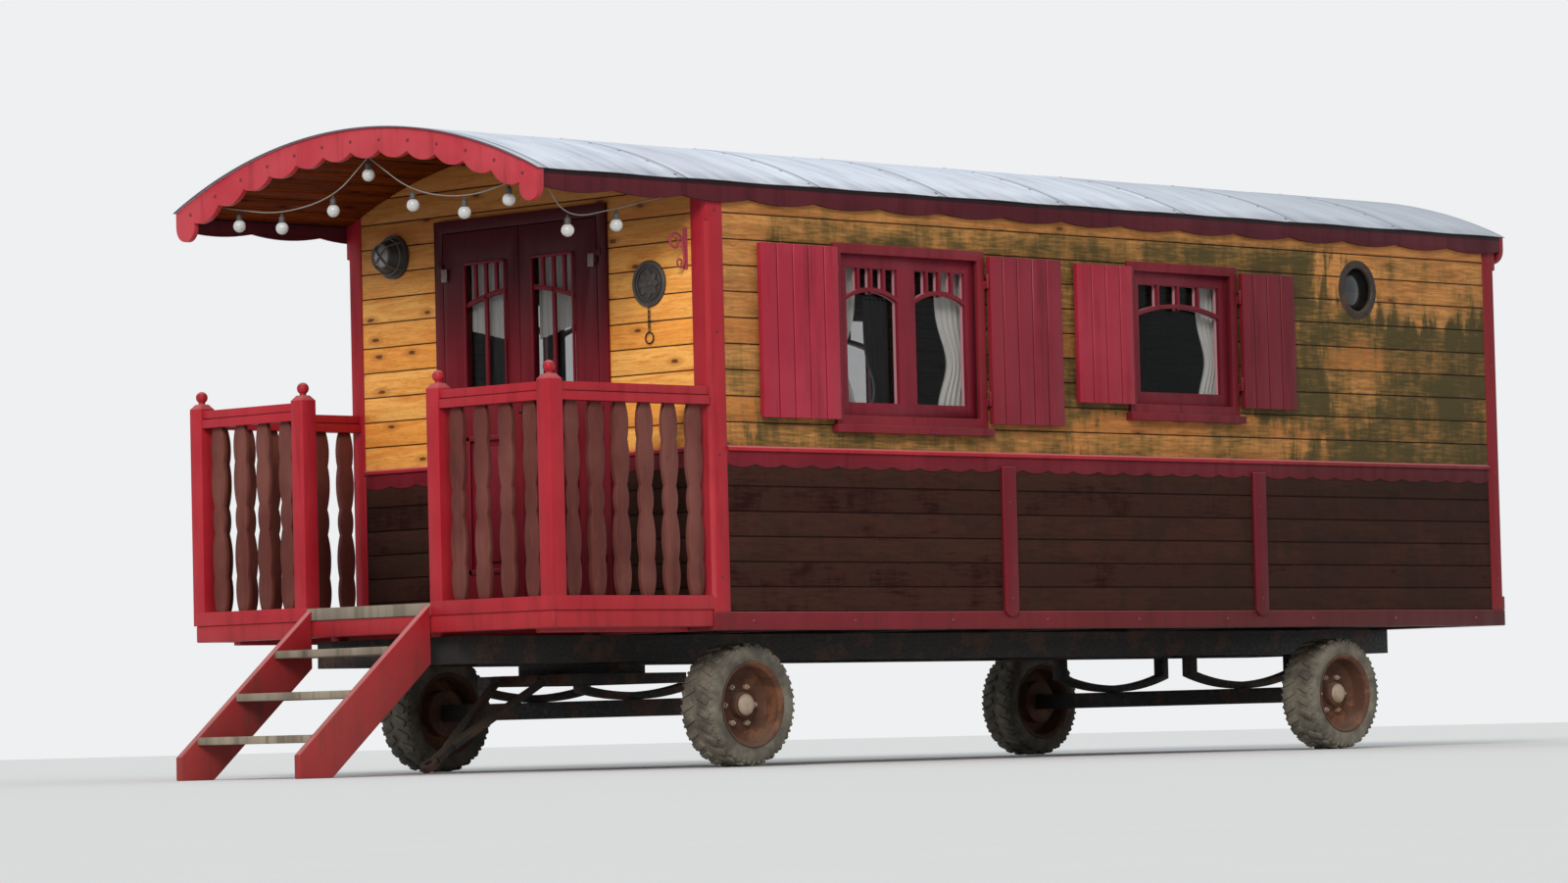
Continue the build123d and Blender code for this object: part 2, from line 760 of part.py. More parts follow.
TREAD_RISE = DECK_Z / (TREADS + 1)
with BuildPart() as stair_treads:
    for index in range(1, TREADS + 1):
        top = DECK_Z - index * TREAD_RISE
        lead = PORCH_X - (STRINGER_TOP - top) / tan(SLOPE)
        block(
            (lead - TREAD_NOSE, lead - TREAD_NOSE + TREAD_D),
            (-STRINGER_Y, STRINGER_Y),
            (top - TREAD_T, top),
        )
save(stair_treads, "stair_treads")

# Door frame and the two leaves, which open outwards onto the porch
FRAME_X = (FRONT - DOOR_PROUD, FRONT_WALL_X[1])
LEAF_X = (FRAME_X[0], FRAME_X[0] + DOOR_T)
JAMB_IN = DOOR_HALF - DOOR_JAMB
LEAF_Z = (DECK_Z + DOOR_FOOT, DOOR_HEAD_Z - DOOR_JAMB - DOOR_GAP)
PIN_X = LEAF_X[0] - KNUCKLE_R
PIN_Y = JAMB_IN - DOOR_GAP / 2
DOOR_HINGE_ZS = [
    LEAF_Z[0] + DOOR_HINGE_IN,
    (LEAF_Z[0] + LEAF_Z[1]) / 2,
    LEAF_Z[1] - DOOR_HINGE_IN,
]


def knuckle(x, y, z):
    """One round barrel of a hinge about an upright pin."""
    with Locations((x, y, (z[0] + z[1]) / 2)):
        Cylinder(KNUCKLE_R, z[1] - z[0])


with BuildPart() as door_frame:
    block(FRAME_X, (-DOOR_HALF, DOOR_HALF), (DECK_Z, DOOR_HEAD_Z))
    block(FRAME_X, (-JAMB_IN, JAMB_IN), (DECK_Z, DOOR_HEAD_Z - DOOR_JAMB), mode=Mode.SUBTRACT)
    block((FRONT, FRONT_WALL_X[1]), (-DOOR_HALF, DOOR_HALF), (SILL_TOP, DECK_Z))
    stop_x = (LEAF_X[1] + DOOR_GAP, FRAME_X[1])
    for side in MIRROR:
        block(stop_x, sided(side, JAMB_IN - DOOR_STOP, JAMB_IN), (DECK_Z, DOOR_HEAD_Z - DOOR_JAMB))
    block(
        stop_x,
        (-JAMB_IN, JAMB_IN),
        (DOOR_HEAD_Z - DOOR_JAMB - DOOR_STOP, DOOR_HEAD_Z - DOOR_JAMB),
    )
    for side in MIRROR:
        pin_y = sided(side, PIN_Y)[0]
        for hinge_z in DOOR_HINGE_ZS:
            span = (hinge_z + PIN_GAP, hinge_z + KNUCKLE_H)
            knuckle(PIN_X, pin_y, span)
            block((PIN_X, FRAME_X[0]), sided(side, PIN_Y, PIN_Y + JAMB_HINGE_L), span)
save(door_frame, "door_frame")

for side in MIRROR:
    free_y = DOOR_GAP / 2
    hinge_y = JAMB_IN - DOOR_GAP
    with BuildPart() as door_leaf:
        block(LEAF_X, sided(side, free_y, hinge_y), LEAF_Z)
        pane_y = sided(side, free_y + STILE_IN, hinge_y - STILE_OUT)
        block(
            LEAF_X,
            pane_y,
            (LOCK_RAIL_Z + LOCK_RAIL_H, LEAF_Z[1] - TOP_STILE),
            mode=Mode.SUBTRACT,
        )
        panel_z = (LEAF_Z[0] + KICK_RAIL_H, LOCK_RAIL_Z)
        block((LEAF_X[0], LEAF_X[0] + (DOOR_T - PANEL_T) / 2), pane_y, panel_z, mode=Mode.SUBTRACT)
        block((LEAF_X[1] - (DOOR_T - PANEL_T) / 2, LEAF_X[1]), pane_y, panel_z, mode=Mode.SUBTRACT)
        pin_y = sided(side, PIN_Y)[0]
        for hinge_z in DOOR_HINGE_ZS:
            span = (hinge_z - KNUCKLE_H, hinge_z - PIN_GAP)
            knuckle(PIN_X, pin_y, span)
            block((PIN_X, LEAF_X[0]), sided(side, PIN_Y - DOOR_HINGE_L, PIN_Y), span)
    save(door_leaf, f"door_{side}")
    with BuildPart() as door_glass:
        middle_x = (LEAF_X[0] + LEAF_X[1]) / 2
        block(
            (middle_x - GLASS_T / 2, middle_x + GLASS_T / 2),
            pane_y,
            (LOCK_RAIL_Z + LOCK_RAIL_H, LEAF_Z[1] - TOP_STILE),
        )
    save(door_glass, f"door_{side}_glass")

# Windows: casing with sill and hinge pins, sash with an arched transom, glass
SHUTTER_OUT = (WALL_OUT + CASING_T + SHUTTER_GAP, WALL_OUT + CASING_T + SHUTTER_GAP + SHUTTER_T)
SHUTTER_PIN = (SHUTTER_OUT[0] + SHUTTER_OUT[1]) / 2


def shutter_hinges(window):
    low, high = window["shut"]
    return (UPPER_Z + low + SHUTTER_HINGE_IN, UPPER_Z + high - SHUTTER_HINGE_IN)


with BuildPart() as window_casings:
    for side in MIRROR:
        for window in WINDOWS:
            middle = FRONT + window["x"]
            half = window["half"]
            z = (UPPER_Z + window["low"], UPPER_Z + window["high"])
            block((middle - half, middle + half), sided(side, WALL_OUT, WALL_OUT + CASING_T), z)
            block(
                (middle - half + CASING_W, middle + half - CASING_W),
                sided(side, WALL_OUT, WALL_OUT + CASING_T),
                (z[0] + CASING_W, z[1] - CASING_W),
                mode=Mode.SUBTRACT,
            )
            block(
                (middle - half - WINDOW_SILL_OVER, middle + half + WINDOW_SILL_OVER),
                sided(side, WALL_OUT, WALL_OUT + CASING_T + SILL_PROUD),
                (z[0] - WINDOW_SILL_H, z[0]),
            )
            for end in (-1, 1):
                pin_x = middle + end * half
                for hinge_z in shutter_hinges(window):
                    span = (hinge_z - KNUCKLE_H, hinge_z - PIN_GAP)
                    knuckle(pin_x, MIRROR[side] * SHUTTER_PIN, span)
                    block(
                        (pin_x - HINGE_T / 2, pin_x + HINGE_T / 2),
                        sided(side, WALL_OUT, SHUTTER_PIN),
                        span,
                    )
    rear_half = REAR_WINDOW["half"]
    rear_z = (UPPER_Z + REAR_WINDOW["low"], UPPER_Z + REAR_WINDOW["high"])
    rear_x = (REAR_WALL_X[1], REAR_WALL_X[1] + CASING_T)
    block(rear_x, (-rear_half, rear_half), rear_z)
    block(
        rear_x,
        (-rear_half + CASING_W, rear_half - CASING_W),
        (rear_z[0] + CASING_W, rear_z[1] - CASING_W),
        mode=Mode.SUBTRACT,
    )
    block(
        (REAR_WALL_X[1], REAR_WALL_X[1] + CASING_T + SILL_PROUD),
        (-rear_half - WINDOW_SILL_OVER, rear_half + WINDOW_SILL_OVER),
        (rear_z[0] - WINDOW_SILL_H, rear_z[0]),
    )
save(window_casings, "window_casings")


def sash_panes(window):
    """Openings in the sashes as left and right edges from the window's middle."""
    inner = window["half"] - CASING_W - SASH_W
    if window["sashes"] == 2:
        return [(-inner, -MULLION_W), (MULLION_W, inner)]
    return [(-inner, inner)]


def sash_outline(window, middle):
    """Sash frame with an arched transom and short bars above it, in the wall's own plane."""
    hole = window["half"] - CASING_W
    low = UPPER_Z + window["low"] + CASING_W
    high = UPPER_Z + window["high"] - CASING_W
    crown = high - SASH_W - TRANSOM_H
    spring = crown - TRANSOM_RISE
    with BuildSketch(mode=Mode.PRIVATE) as outline:
        with Locations((middle, (low + high) / 2)):
            Rectangle(2 * hole, high - low)
        for left, right in sash_panes(window):
            centre = (left + right) / 2
            with BuildLine():
                Polyline(
                    (middle + left, spring),
                    (middle + left, low + SASH_W),
                    (middle + right, low + SASH_W),
                    (middle + right, spring),
                )
                ThreePointArc(
                    (middle + right, spring), (middle + centre, crown), (middle + left, spring)
                )
            make_face(mode=Mode.SUBTRACT)
            with BuildLine():
                Line((middle + left, spring + BAR_W), (middle + left, high - SASH_W))
                Line((middle + left, high - SASH_W), (middle + right, high - SASH_W))
                Line((middle + right, high - SASH_W), (middle + right, spring + BAR_W))
                ThreePointArc(
                    (middle + right, spring + BAR_W),
                    (middle + centre, crown + BAR_W),
                    (middle + left, spring + BAR_W),
                )
            make_face(mode=Mode.SUBTRACT)
            for share in BAR_SHARES:
                bar_x = middle + left + share * (right - left)
                with Locations((bar_x, (crown + high) / 2 - SASH_W / 2)):
                    Rectangle(BAR_W * BAR_THIN, high - SASH_W - crown + BAR_W)
    return outline.sketch


SASH_OUT = WALL_OUT - SASH_SET
with BuildPart() as window_sashes:
    for side in MIRROR:
        for window in WINDOWS:
            face = sash_outline(window, FRONT + window["x"])
            extrude(
                Plane.XZ.offset(-sided(side, SASH_OUT)[0]) * face, amount=MIRROR[side] * SASH_T
            )
    rear_face = sash_outline({**REAR_WINDOW, "sashes": 1}, 0)
    extrude(Plane.YZ.offset(REAR_WALL_X[1] - SASH_SET) * rear_face, amount=-SASH_T)
save(window_sashes, "window_sashes")

GLASS_OUT = SASH_OUT - SASH_T
with BuildPart() as window_glass:
    for side in MIRROR:
        for window in WINDOWS:
            middle = FRONT + window["x"]
            hole = window["half"] - CASING_W - GLASS_LAP
            block(
                (middle - hole, middle + hole),
                sided(side, GLASS_OUT - GLASS_T, GLASS_OUT),
                (
                    UPPER_Z + window["low"] + CASING_W + GLASS_LAP,
                    UPPER_Z + window["high"] - CASING_W - GLASS_LAP,
                ),
            )
    rear_hole = REAR_WINDOW["half"] - CASING_W - GLASS_LAP
    rear_pane_x = REAR_WALL_X[1] - SASH_SET - SASH_T
    block(
        (rear_pane_x - GLASS_T, rear_pane_x),
        (-rear_hole, rear_hole),
        (
            UPPER_Z + REAR_WINDOW["low"] + CASING_W + GLASS_LAP,
            UPPER_Z + REAR_WINDOW["high"] - CASING_W - GLASS_LAP,
        ),
    )
save(window_glass, "window_glass")

with BuildPart() as porthole:
    with BuildSketch(Plane.XZ.offset(WALL_OUT)) as rim:
        with Locations((FRONT + PORTHOLE["x"], UPPER_Z + PORTHOLE["z"])):
            Circle(PORTHOLE["r"] + PORTHOLE["ring"])
            Circle(PORTHOLE["r"] - PORTHOLE["lip"], mode=Mode.SUBTRACT)
    extrude(rim.sketch, amount=PORTHOLE["proud"])
    with BuildSketch(Plane.XZ.offset(WALL_OUT)) as sleeve:
        with Locations((FRONT + PORTHOLE["x"], UPPER_Z + PORTHOLE["z"])):
            Circle(PORTHOLE["r"] - SEAT_GAP)
    extrude(sleeve.sketch, amount=-WALL_T / 2)
    with BuildSketch(Plane.XZ.offset(WALL_OUT)) as recess:
        with Locations((FRONT + PORTHOLE["x"], UPPER_Z + PORTHOLE["z"])):
            Circle(PORTHOLE["r"] - PORTHOLE["lip"])
    extrude(recess.sketch, amount=-WALL_T / 2 + PORTHOLE["back"], mode=Mode.SUBTRACT)
save(porthole, "porthole")

# Shutters, folded back on the wall; each pair closes over its window
for side in MIRROR:
    for window in WINDOWS:
        for end, place in ((-1, "front"), (1, "rear")):
            pin_x = FRONT + window["x"] + end * window["half"]
            far_x = pin_x + end * (window["half"] - SHUTTER_MEET)
            low, high = window["shut"]
            with BuildPart() as shutter:
                block(
                    (pin_x + end * SHUTTER_EDGE, far_x),
                    sided(side, *SHUTTER_OUT),
                    (UPPER_Z + low, UPPER_Z + high),
                )
                for hinge_z in shutter_hinges(window):
                    span = (hinge_z + PIN_GAP, hinge_z + KNUCKLE_H)
                    knuckle(pin_x, MIRROR[side] * SHUTTER_PIN, span)
                    block(
                        (pin_x, pin_x + end * SHUTTER_HINGE_L),
                        sided(side, SHUTTER_PIN - HINGE_T / 2, SHUTTER_PIN + HINGE_T / 2),
                        span,
                    )
            save(shutter, f"shutter_{side}_{window['name']}_{place}")

# Lamp, blank plaque and small plate on the front wall
LAMP = {"y": 900, "z": 2487, "r": 105, "depth": 92, "back": 28, "dome": 0.86, "taper": 24}
PLAQUE = {"y": -868, "z": 2232, "r": 108, "t": 14}
PLATE = {"y": -872, "z": 2030, "w": 46, "h": 78, "t": 8}
with BuildPart() as wall_fittings:
    with BuildSketch(Plane.YZ.offset(FRONT_WALL_X[0])) as lamp_back:
        with Locations((LAMP["y"], LAMP["z"])):
            Circle(LAMP["r"])
    extrude(lamp_back.sketch, amount=-LAMP["back"])
    with BuildSketch(Plane.YZ.offset(FRONT_WALL_X[0] - LAMP["back"])) as lamp_dome:
        with Locations((LAMP["y"], LAMP["z"])):
            Circle(LAMP["r"] * LAMP["dome"])
    extrude(lamp_dome.sketch, amount=-(LAMP["depth"] - LAMP["back"]), taper=LAMP["taper"])
    with BuildSketch(Plane.YZ.offset(FRONT_WALL_X[0])) as plaque:
        with Locations((PLAQUE["y"], PLAQUE["z"])):
            Circle(PLAQUE["r"])
    extrude(plaque.sketch, amount=-PLAQUE["t"])
    with BuildSketch(Plane.YZ.offset(FRONT_WALL_X[0])) as plate:
        with Locations((PLATE["y"], PLATE["z"])):
            Rectangle(PLATE["w"], PLATE["h"])
    extrude(plate.sketch, amount=-PLATE["t"])
save(wall_fittings, "wall_fittings")


def spring(x, y, length, low, high):
    """Curved leaf pack from its seat at the middle up to its ends."""
    half = length / 2
    with BuildSketch(Plane.XZ.offset(-y)) as pack:
        with BuildLine():
            ThreePointArc((x - half, high), (x, low + SPRING_T), (x + half, high))
            Line((x + half, high), (x + half, high - SPRING_T))
            ThreePointArc((x + half, high - SPRING_T), (x, low), (x - half, high - SPRING_T))
            Line((x - half, high - SPRING_T), (x - half, high))
        make_face()
    extrude(pack.sketch, amount=SPRING_W / 2, both=True)


def axle(x):
    """Square beam with a round stub at each end."""
    beam = WHEEL_Y - DRUM_IN - BEAM_GAP
    block((x - AXLE_S / 2, x + AXLE_S / 2), (-beam, beam), (AXLE_Z - AXLE_S / 2, AXLE_Z + AXLE_S / 2))
    with Locations(Location((x, 0, AXLE_Z), (90, 0, 0))):
        Cylinder(STUB_R, 2 * (WHEEL_Y + HUB_END - STUB_SHORT))


AXLE_TOP = AXLE_Z + AXLE_S / 2
with BuildPart() as rear_axle:
    axle(AXLE_X["rear"])
    rear_high = CHASSIS_Z - REAR_SPRING_DROP
    for side in MIRROR:
        spring_y = sided(side, CHASSIS_Y)[0]
        spring(AXLE_X["rear"], spring_y, REAR_SPRING_L, AXLE_TOP, rear_high)
        for end in (-1, 1):
            hanger = AXLE_X["rear"] + end * REAR_SPRING_L / 2
            block(
                (hanger, hanger - end * HANGER_L),
                (spring_y - SPRING_W / 2, spring_y + SPRING_W / 2),
                (rear_high - HANGER_LAP, CHASSIS_Z),
            )
save(rear_axle, "rear_axle")

STEER_TOP = CHASSIS_Z - RING_T
STEER_Z = STEER_TOP - RING_T - STEER_RAIL_H
with BuildPart() as front_axle:
    axle(AXLE_X["front"])
    for side in MIRROR:
        spring(AXLE_X["front"], sided(side, SPRING_Y)[0], FRONT_SPRING_L, AXLE_TOP, STEER_Z)
save(front_axle, "front_axle")

DRAW_PIN_LEAD = 50
DRAW_PIN_X = AXLE_X["front"] - FRONT_SPRING_L / 2 - DRAW_PIN_LEAD
DRAW_PIN_Z = STEER_Z + STEER_RAIL_H / 2
DRAW_PIN_R = 11
DRAW_PIN_L = 66
DRAW_EAR_Y = 160
EAR_IN = 32
EAR_OUT = 20
EAR_R = 25
EAR_T = 12
DRAW_L = 700
EYE_R = 44
EYE_BORE_R = 20
EYE_T = 30
DRAW_TUBE = 50
FORK_END = 150
FORK_CROTCH = 240
EYE_SHANK = 160
EYE_SHANK_W = 50
EYE_CLEAR = 1
FORK_W = 38
FORK_HEEL = 32
FORK_TIP = 40
FORK_BOSS_R = 22
FORK_BORE_L = 40
KING_PIN_L = 2 * RING_T + KING_PIN_OVER
with BuildPart() as steering_frame:
    with BuildSketch(Plane.XY.offset(STEER_TOP)) as lower_ring:
        with Locations((AXLE_X["front"], 0)):
            Circle(RING_R)
            Circle(RING_R - RING_W, mode=Mode.SUBTRACT)
            Rectangle(2 * RING_R - RING_W, RING_W * 2)
    extrude(lower_ring.sketch, amount=-RING_T)
    with Locations((AXLE_X["front"], 0, STEER_TOP - RING_T + KING_PIN_L / 2)):
        Cylinder(KING_PIN_R, KING_PIN_L)
    rail_x = (
        AXLE_X["front"] - FRONT_SPRING_L / 2,
        AXLE_X["front"] + FRONT_SPRING_L / 2,
    )
    for side in MIRROR:
        rail_y = sided(side, SPRING_Y - STEER_RAIL_W / 2, SPRING_Y + STEER_RAIL_W / 2)
        block(rail_x, rail_y, (STEER_Z, STEER_Z + STEER_RAIL_H))
    for cross in (-1, 1):
        cross_x = AXLE_X["front"] + cross * (RING_R - RING_W / 2)
        block(
            (cross_x - STEER_CROSS_W / 2, cross_x + STEER_CROSS_W / 2),
            (-SPRING_Y, SPRING_Y),
            (STEER_Z, STEER_Z + STEER_RAIL_H),
        )
    block(
        (rail_x[0], rail_x[0] + STEER_BEAM_W),
        (-SPRING_Y, SPRING_Y),
        (STEER_Z, STEER_Z + STEER_RAIL_H),
    )
    for side in MIRROR:
        for ear in (DRAW_EAR_Y - EAR_IN, DRAW_EAR_Y + EAR_OUT):
            with BuildSketch(Plane.XZ.offset(-sided(side, ear)[0])) as ear_plate:
                with BuildLine():
                    Polyline(
                        (DRAW_PIN_X, DRAW_PIN_Z + EAR_R),
                        (rail_x[0], DRAW_PIN_Z + EAR_R),
                        (rail_x[0], DRAW_PIN_Z - EAR_R),
                        (DRAW_PIN_X, DRAW_PIN_Z - EAR_R),
                    )
                    ThreePointArc(
                        (DRAW_PIN_X, DRAW_PIN_Z - EAR_R),
                        (DRAW_PIN_X - EAR_R, DRAW_PIN_Z),
                        (DRAW_PIN_X, DRAW_PIN_Z + EAR_R),
                    )
                make_face()
            extrude(ear_plate.sketch, amount=-MIRROR[side] * EAR_T)
        with Locations(
            Location((DRAW_PIN_X, sided(side, DRAW_EAR_Y)[0], DRAW_PIN_Z), (90, 0, 0))
        ):
            Cylinder(DRAW_PIN_R, DRAW_PIN_L)
save(steering_frame, "steering_frame")

# Drawbar: a fork on two pins and a towing eye, let down until the eye rests on the ground
EYE_DROP = DRAW_PIN_Z - EYE_T / 2 - EYE_CLEAR
DRAW_ANGLE = degrees(asin(EYE_DROP / (DRAW_L + EYE_R)))
with BuildPart() as drawbar:
    for side in MIRROR:
        y0 = sided(side, DRAW_EAR_Y)[0]
        fork = MIRROR[side] * FORK_W / 2
        with BuildSketch(Plane.XY.offset(-DRAW_TUBE / 4)) as arm:
            with BuildLine():
                Polyline(
                    (-FORK_HEEL, y0 - fork),
                    (0, y0 - fork),
                    (0, y0 + fork),
                    (-FORK_HEEL, y0 + fork),
                    (-(DRAW_L - FORK_END), MIRROR[side] * FORK_TIP),
                    (-(DRAW_L - FORK_END), 0),
                    (-(DRAW_L - FORK_CROTCH), 0),
                    close=True,
                )
            make_face()
        extrude(arm.sketch, amount=DRAW_TUBE / 2)
        with Locations(Location((0, y0, 0), (90, 0, 0))):
            Cylinder(FORK_BOSS_R, FORK_W)
    block(
        (-(DRAW_L - EYE_R), -(DRAW_L - EYE_SHANK)),
        (-EYE_SHANK_W / 2, EYE_SHANK_W / 2),
        (-EYE_T / 2, EYE_T / 2),
    )
    with Locations((-DRAW_L, 0, 0)):
        Cylinder(EYE_R, EYE_T)
        Cylinder(EYE_BORE_R, EYE_T, mode=Mode.SUBTRACT)
    for side in MIRROR:
        with Locations(Location((0, sided(side, DRAW_EAR_Y)[0], 0), (90, 0, 0))):
            Cylinder(DRAW_PIN_R + PIN_GAP, FORK_BORE_L, mode=Mode.SUBTRACT)
drawbar.part = Pos(DRAW_PIN_X, 0, DRAW_PIN_Z) * Rot(0, -DRAW_ANGLE, 0) * drawbar.part
save(drawbar, "drawbar")

# Wheels: tyre and rim with its hub, turned about the axle
for end in AXLE_X:
    for side in MIRROR:
        out = MIRROR[side]
        centre = Plane(
            origin=(AXLE_X[end], out * WHEEL_Y, AXLE_Z), x_dir=(1, 0, 0), z_dir=(0, 0, 1)
        )
        half = TYRE_W / 2
        with BuildPart() as tyre:
            with BuildSketch(centre) as section:
                with BuildLine():
                    Polyline(
                        (RIM_R + SEAT_GAP, -half + BEAD_IN),
                        (RIM_R + SEAT_GAP, half - BEAD_IN),
                        (RIM_R + BEAD_H, half - BEAD_SIDE),
                    )
                    ThreePointArc(
                        (RIM_R + BEAD_H, half - BEAD_SIDE),
                        ((RIM_R + WHEEL_R) / 2, half),
                        (WHEEL_R - SHOULDER_H, half - SHOULDER_IN),
                    )
                    Polyline(
                        (WHEEL_R - SHOULDER_H, half - SHOULDER_IN),
                        (WHEEL_R, half - TREAD_IN),
                        (WHEEL_R, -half + TREAD_IN),
                        (WHEEL_R - SHOULDER_H, -half + SHOULDER_IN),
                    )
                    ThreePointArc(
                        (WHEEL_R - SHOULDER_H, -half + SHOULDER_IN),
                        ((RIM_R + WHEEL_R) / 2, -half),
                        (RIM_R + BEAD_H, -half + BEAD_SIDE),
                    )
                    Line((RIM_R + BEAD_H, -half + BEAD_SIDE), (RIM_R + SEAT_GAP, -half + BEAD_IN))
                make_face()
            revolve(axis=Axis((AXLE_X[end], 0, AXLE_Z), (0, 1, 0)))
        save(tyre, f"tyre_{end}_{side}")
        with BuildPart() as wheel_rim:
            with BuildSketch(centre) as section:
                with BuildLine():
                    Polyline(
                        (STUB_R + HUB_GAP, -out * DRUM_IN),
                        (STUB_R + HUB_GAP, out * HUB_END),
                        (0, out * HUB_END),
                        (0, out * (HUB_END + HUB_CAP_L)),
                        (HUB_R - HUB_CAP_EDGE, out * (HUB_END + HUB_CAP_L)),
                        (HUB_R, out * (HUB_END + HUB_CAP_SIDE)),
                        (HUB_R, out * DISC_FACE["hub"]),
                        (RIM_R - DISH_IN, out * DISC_FACE["dish"]),
                        (RIM_R - RIM_T, out * DISC_FACE["rim"]),
                        (RIM_R - RIM_T, out * (half - RIM_STEP)),
                        (RIM_R + RIM_LIP - LIP_T, out * (half - LIP_IN)),
                        (RIM_R + RIM_LIP, out * (half - LIP_IN)),
                        (RIM_R + RIM_LIP, out * (half - LIP_T)),
                        (RIM_R, out * (half - BEAD_SEAT_IN)),
                        (RIM_R, -out * (half - BEAD_SEAT_IN)),
                        (RIM_R + RIM_LIP, -out * (half - LIP_T)),
                        (RIM_R + RIM_LIP, -out * (half - LIP_IN)),
                        (RIM_R + RIM_LIP - LIP_T, -out * (half - LIP_IN)),
                        (RIM_R - RIM_T, -out * (half - RIM_STEP)),
                        (RIM_R - RIM_T, out * DISC_BACK["rim"]),
                        (RIM_R - DISH_IN, out * DISC_BACK["dish"]),
                        (DRUM_R, out * DISC_BACK["drum"]),
                        (DRUM_R, -out * DRUM_IN),
                        close=True,
                    )
                make_face()
            revolve(axis=Axis((AXLE_X[end], 0, AXLE_Z), (0, 1, 0)))
        save(wheel_rim, f"rim_{end}_{side}")

# String of lights under the porch roof. The route starts at the first eye on the far side,
# runs behind the front board and then back along the near side into the front wall.
# Each row: distance from the front wall, Y, Z, what hangs or holds there
CABLE_ROUTE = [
    (-947, 1128, 2690, "cap"),
    (-947, 1090, 2706, "eye"),
    (-947, 921, 2672, "bulb"),
    (-947, 612, 2629, "bulb"),
    (-947, 238, 2676, "bulb"),
    (-947, -8, 2842, "eye bulb"),
    (-947, -306, 2657, "bulb"),
    (-947, -660, 2599, "bulb"),
    (-947, -958, 2640, "bulb"),
    (-940, -1112, 2690, "eye"),
    (-912, -1148, 2650, ""),
    (-790, -1160, 2470, "bulb"),
    (-479, -1160, 2532, "bulb"),
    (-110, -1160, 2618, ""),
    (-14, -1160, 2632, "gland"),
]
TIGHT_BENDS = (1, 5)


def cable_points():
    return [Vector(FRONT + x, y, z) for x, y, z, _ in CABLE_ROUTE]


def cable_radii(points):
    """Each bend as large as its two runs allow, and as small as the eye where it hangs in one."""
    radii = []
    for index in range(1, len(points) - 1):
        before = points[index] - points[index - 1]
        after = points[index + 1] - points[index]
        half_turn = radians(before.get_angle(after)) / 2
        largest = BEND_SHARE * min(before.length, after.length) / tan(half_turn)
        radii.append(min(largest, HOOK_R) if index in TIGHT_BENDS else largest)
    return radii


def bend_middle(points, radii, index):
    """Where the middle of a bend lies, with the cable's direction there."""
    before = (points[index] - points[index - 1]).normalized()
    after = (points[index + 1] - points[index]).normalized()
    half_turn = radians(before.get_angle(after)) / 2
    inward = (after - before).normalized()
    return points[index] + inward * radii[index - 1] * (1 / cos(half_turn) - 1)


CABLE_POINTS = cable_points()
CABLE_RADII = cable_radii(CABLE_POINTS)
with BuildPart() as light_cable:
    with BuildLine() as route:
        cable_line = FilletPolyline(*CABLE_POINTS, radius=CABLE_RADII)
    start_plane = Plane(
        origin=CABLE_POINTS[0], z_dir=(CABLE_POINTS[1] - CABLE_POINTS[0]).normalized()
    )
    with BuildSketch(start_plane):
        Circle(CABLE_D / 2)
    sweep(path=route.line)
save(light_cable, "light_cable")
CABLE_L = sum(edge.length for edge in cable_line.edges())
CABLE_RATIO = light_cable.part.volume / (CABLE_L * pi * CABLE_D**2 / 4)
print("cable length", round(CABLE_L, 1), "radii", [round(r) for r in CABLE_RADII])
print("cable volume against length times section", round(CABLE_RATIO, 4))


def socket_seat(index):
    """Top of the socket that hangs from a bend, clear of the sloping cable and of an eye's ring."""
    held = bend_middle(CABLE_POINTS, CABLE_RADII, index)
    if "eye" in CABLE_ROUTE[index][3]:
        return held - Vector(0, 0, CABLE_D / 2 + 2 * EYE_WIRE + 2 * SEAT_GAP)
    before = (CABLE_POINTS[index] - CABLE_POINTS[index - 1]).normalized()
    after = (CABLE_POINTS[index + 1] - CABLE_POINTS[index]).normalized()
    heading = before + after
    slope = abs(heading.Z) / sqrt(heading.X**2 + heading.Y**2)
    clear = CABLE_D / 2 * sqrt(1 + slope**2) + SOCKET_NECK_R * slope + SOCKET_GAP
    return held - Vector(0, 0, clear)


with BuildPart() as light_bulbs:
    globe = SOCKET_H + sqrt(BULB_R**2 - SOCKET_R**2)
    for index, row in enumerate(CABLE_ROUTE):
        if "bulb" in row[3]:
            seat = socket_seat(index)
            with BuildSketch(Plane(origin=seat, x_dir=(1, 0, 0), z_dir=(0, -1, 0))) as bulb:
                with BuildLine():
                    Polyline(
                        (0, 0),
                        (SOCKET_NECK_R, 0),
                        (SOCKET_R, -SOCKET_NECK_H),
                        (SOCKET_R, -SOCKET_H),
                    )
                    ThreePointArc((SOCKET_R, -SOCKET_H), (BULB_R, -globe), (0, -globe - BULB_R))
                    Line((0, -globe - BULB_R), (0, 0))
                make_face()
            revolve(axis=Axis(seat, (0, 0, 1)))
    tip = (CABLE_POINTS[0] - CABLE_POINTS[1]).normalized()
    with BuildSketch(Plane(origin=CABLE_POINTS[0], z_dir=tip)) as cap:
        Circle(CABLE_D)
    extrude(cap.sketch, amount=CAP_H)
save(light_bulbs, "light_bulbs")

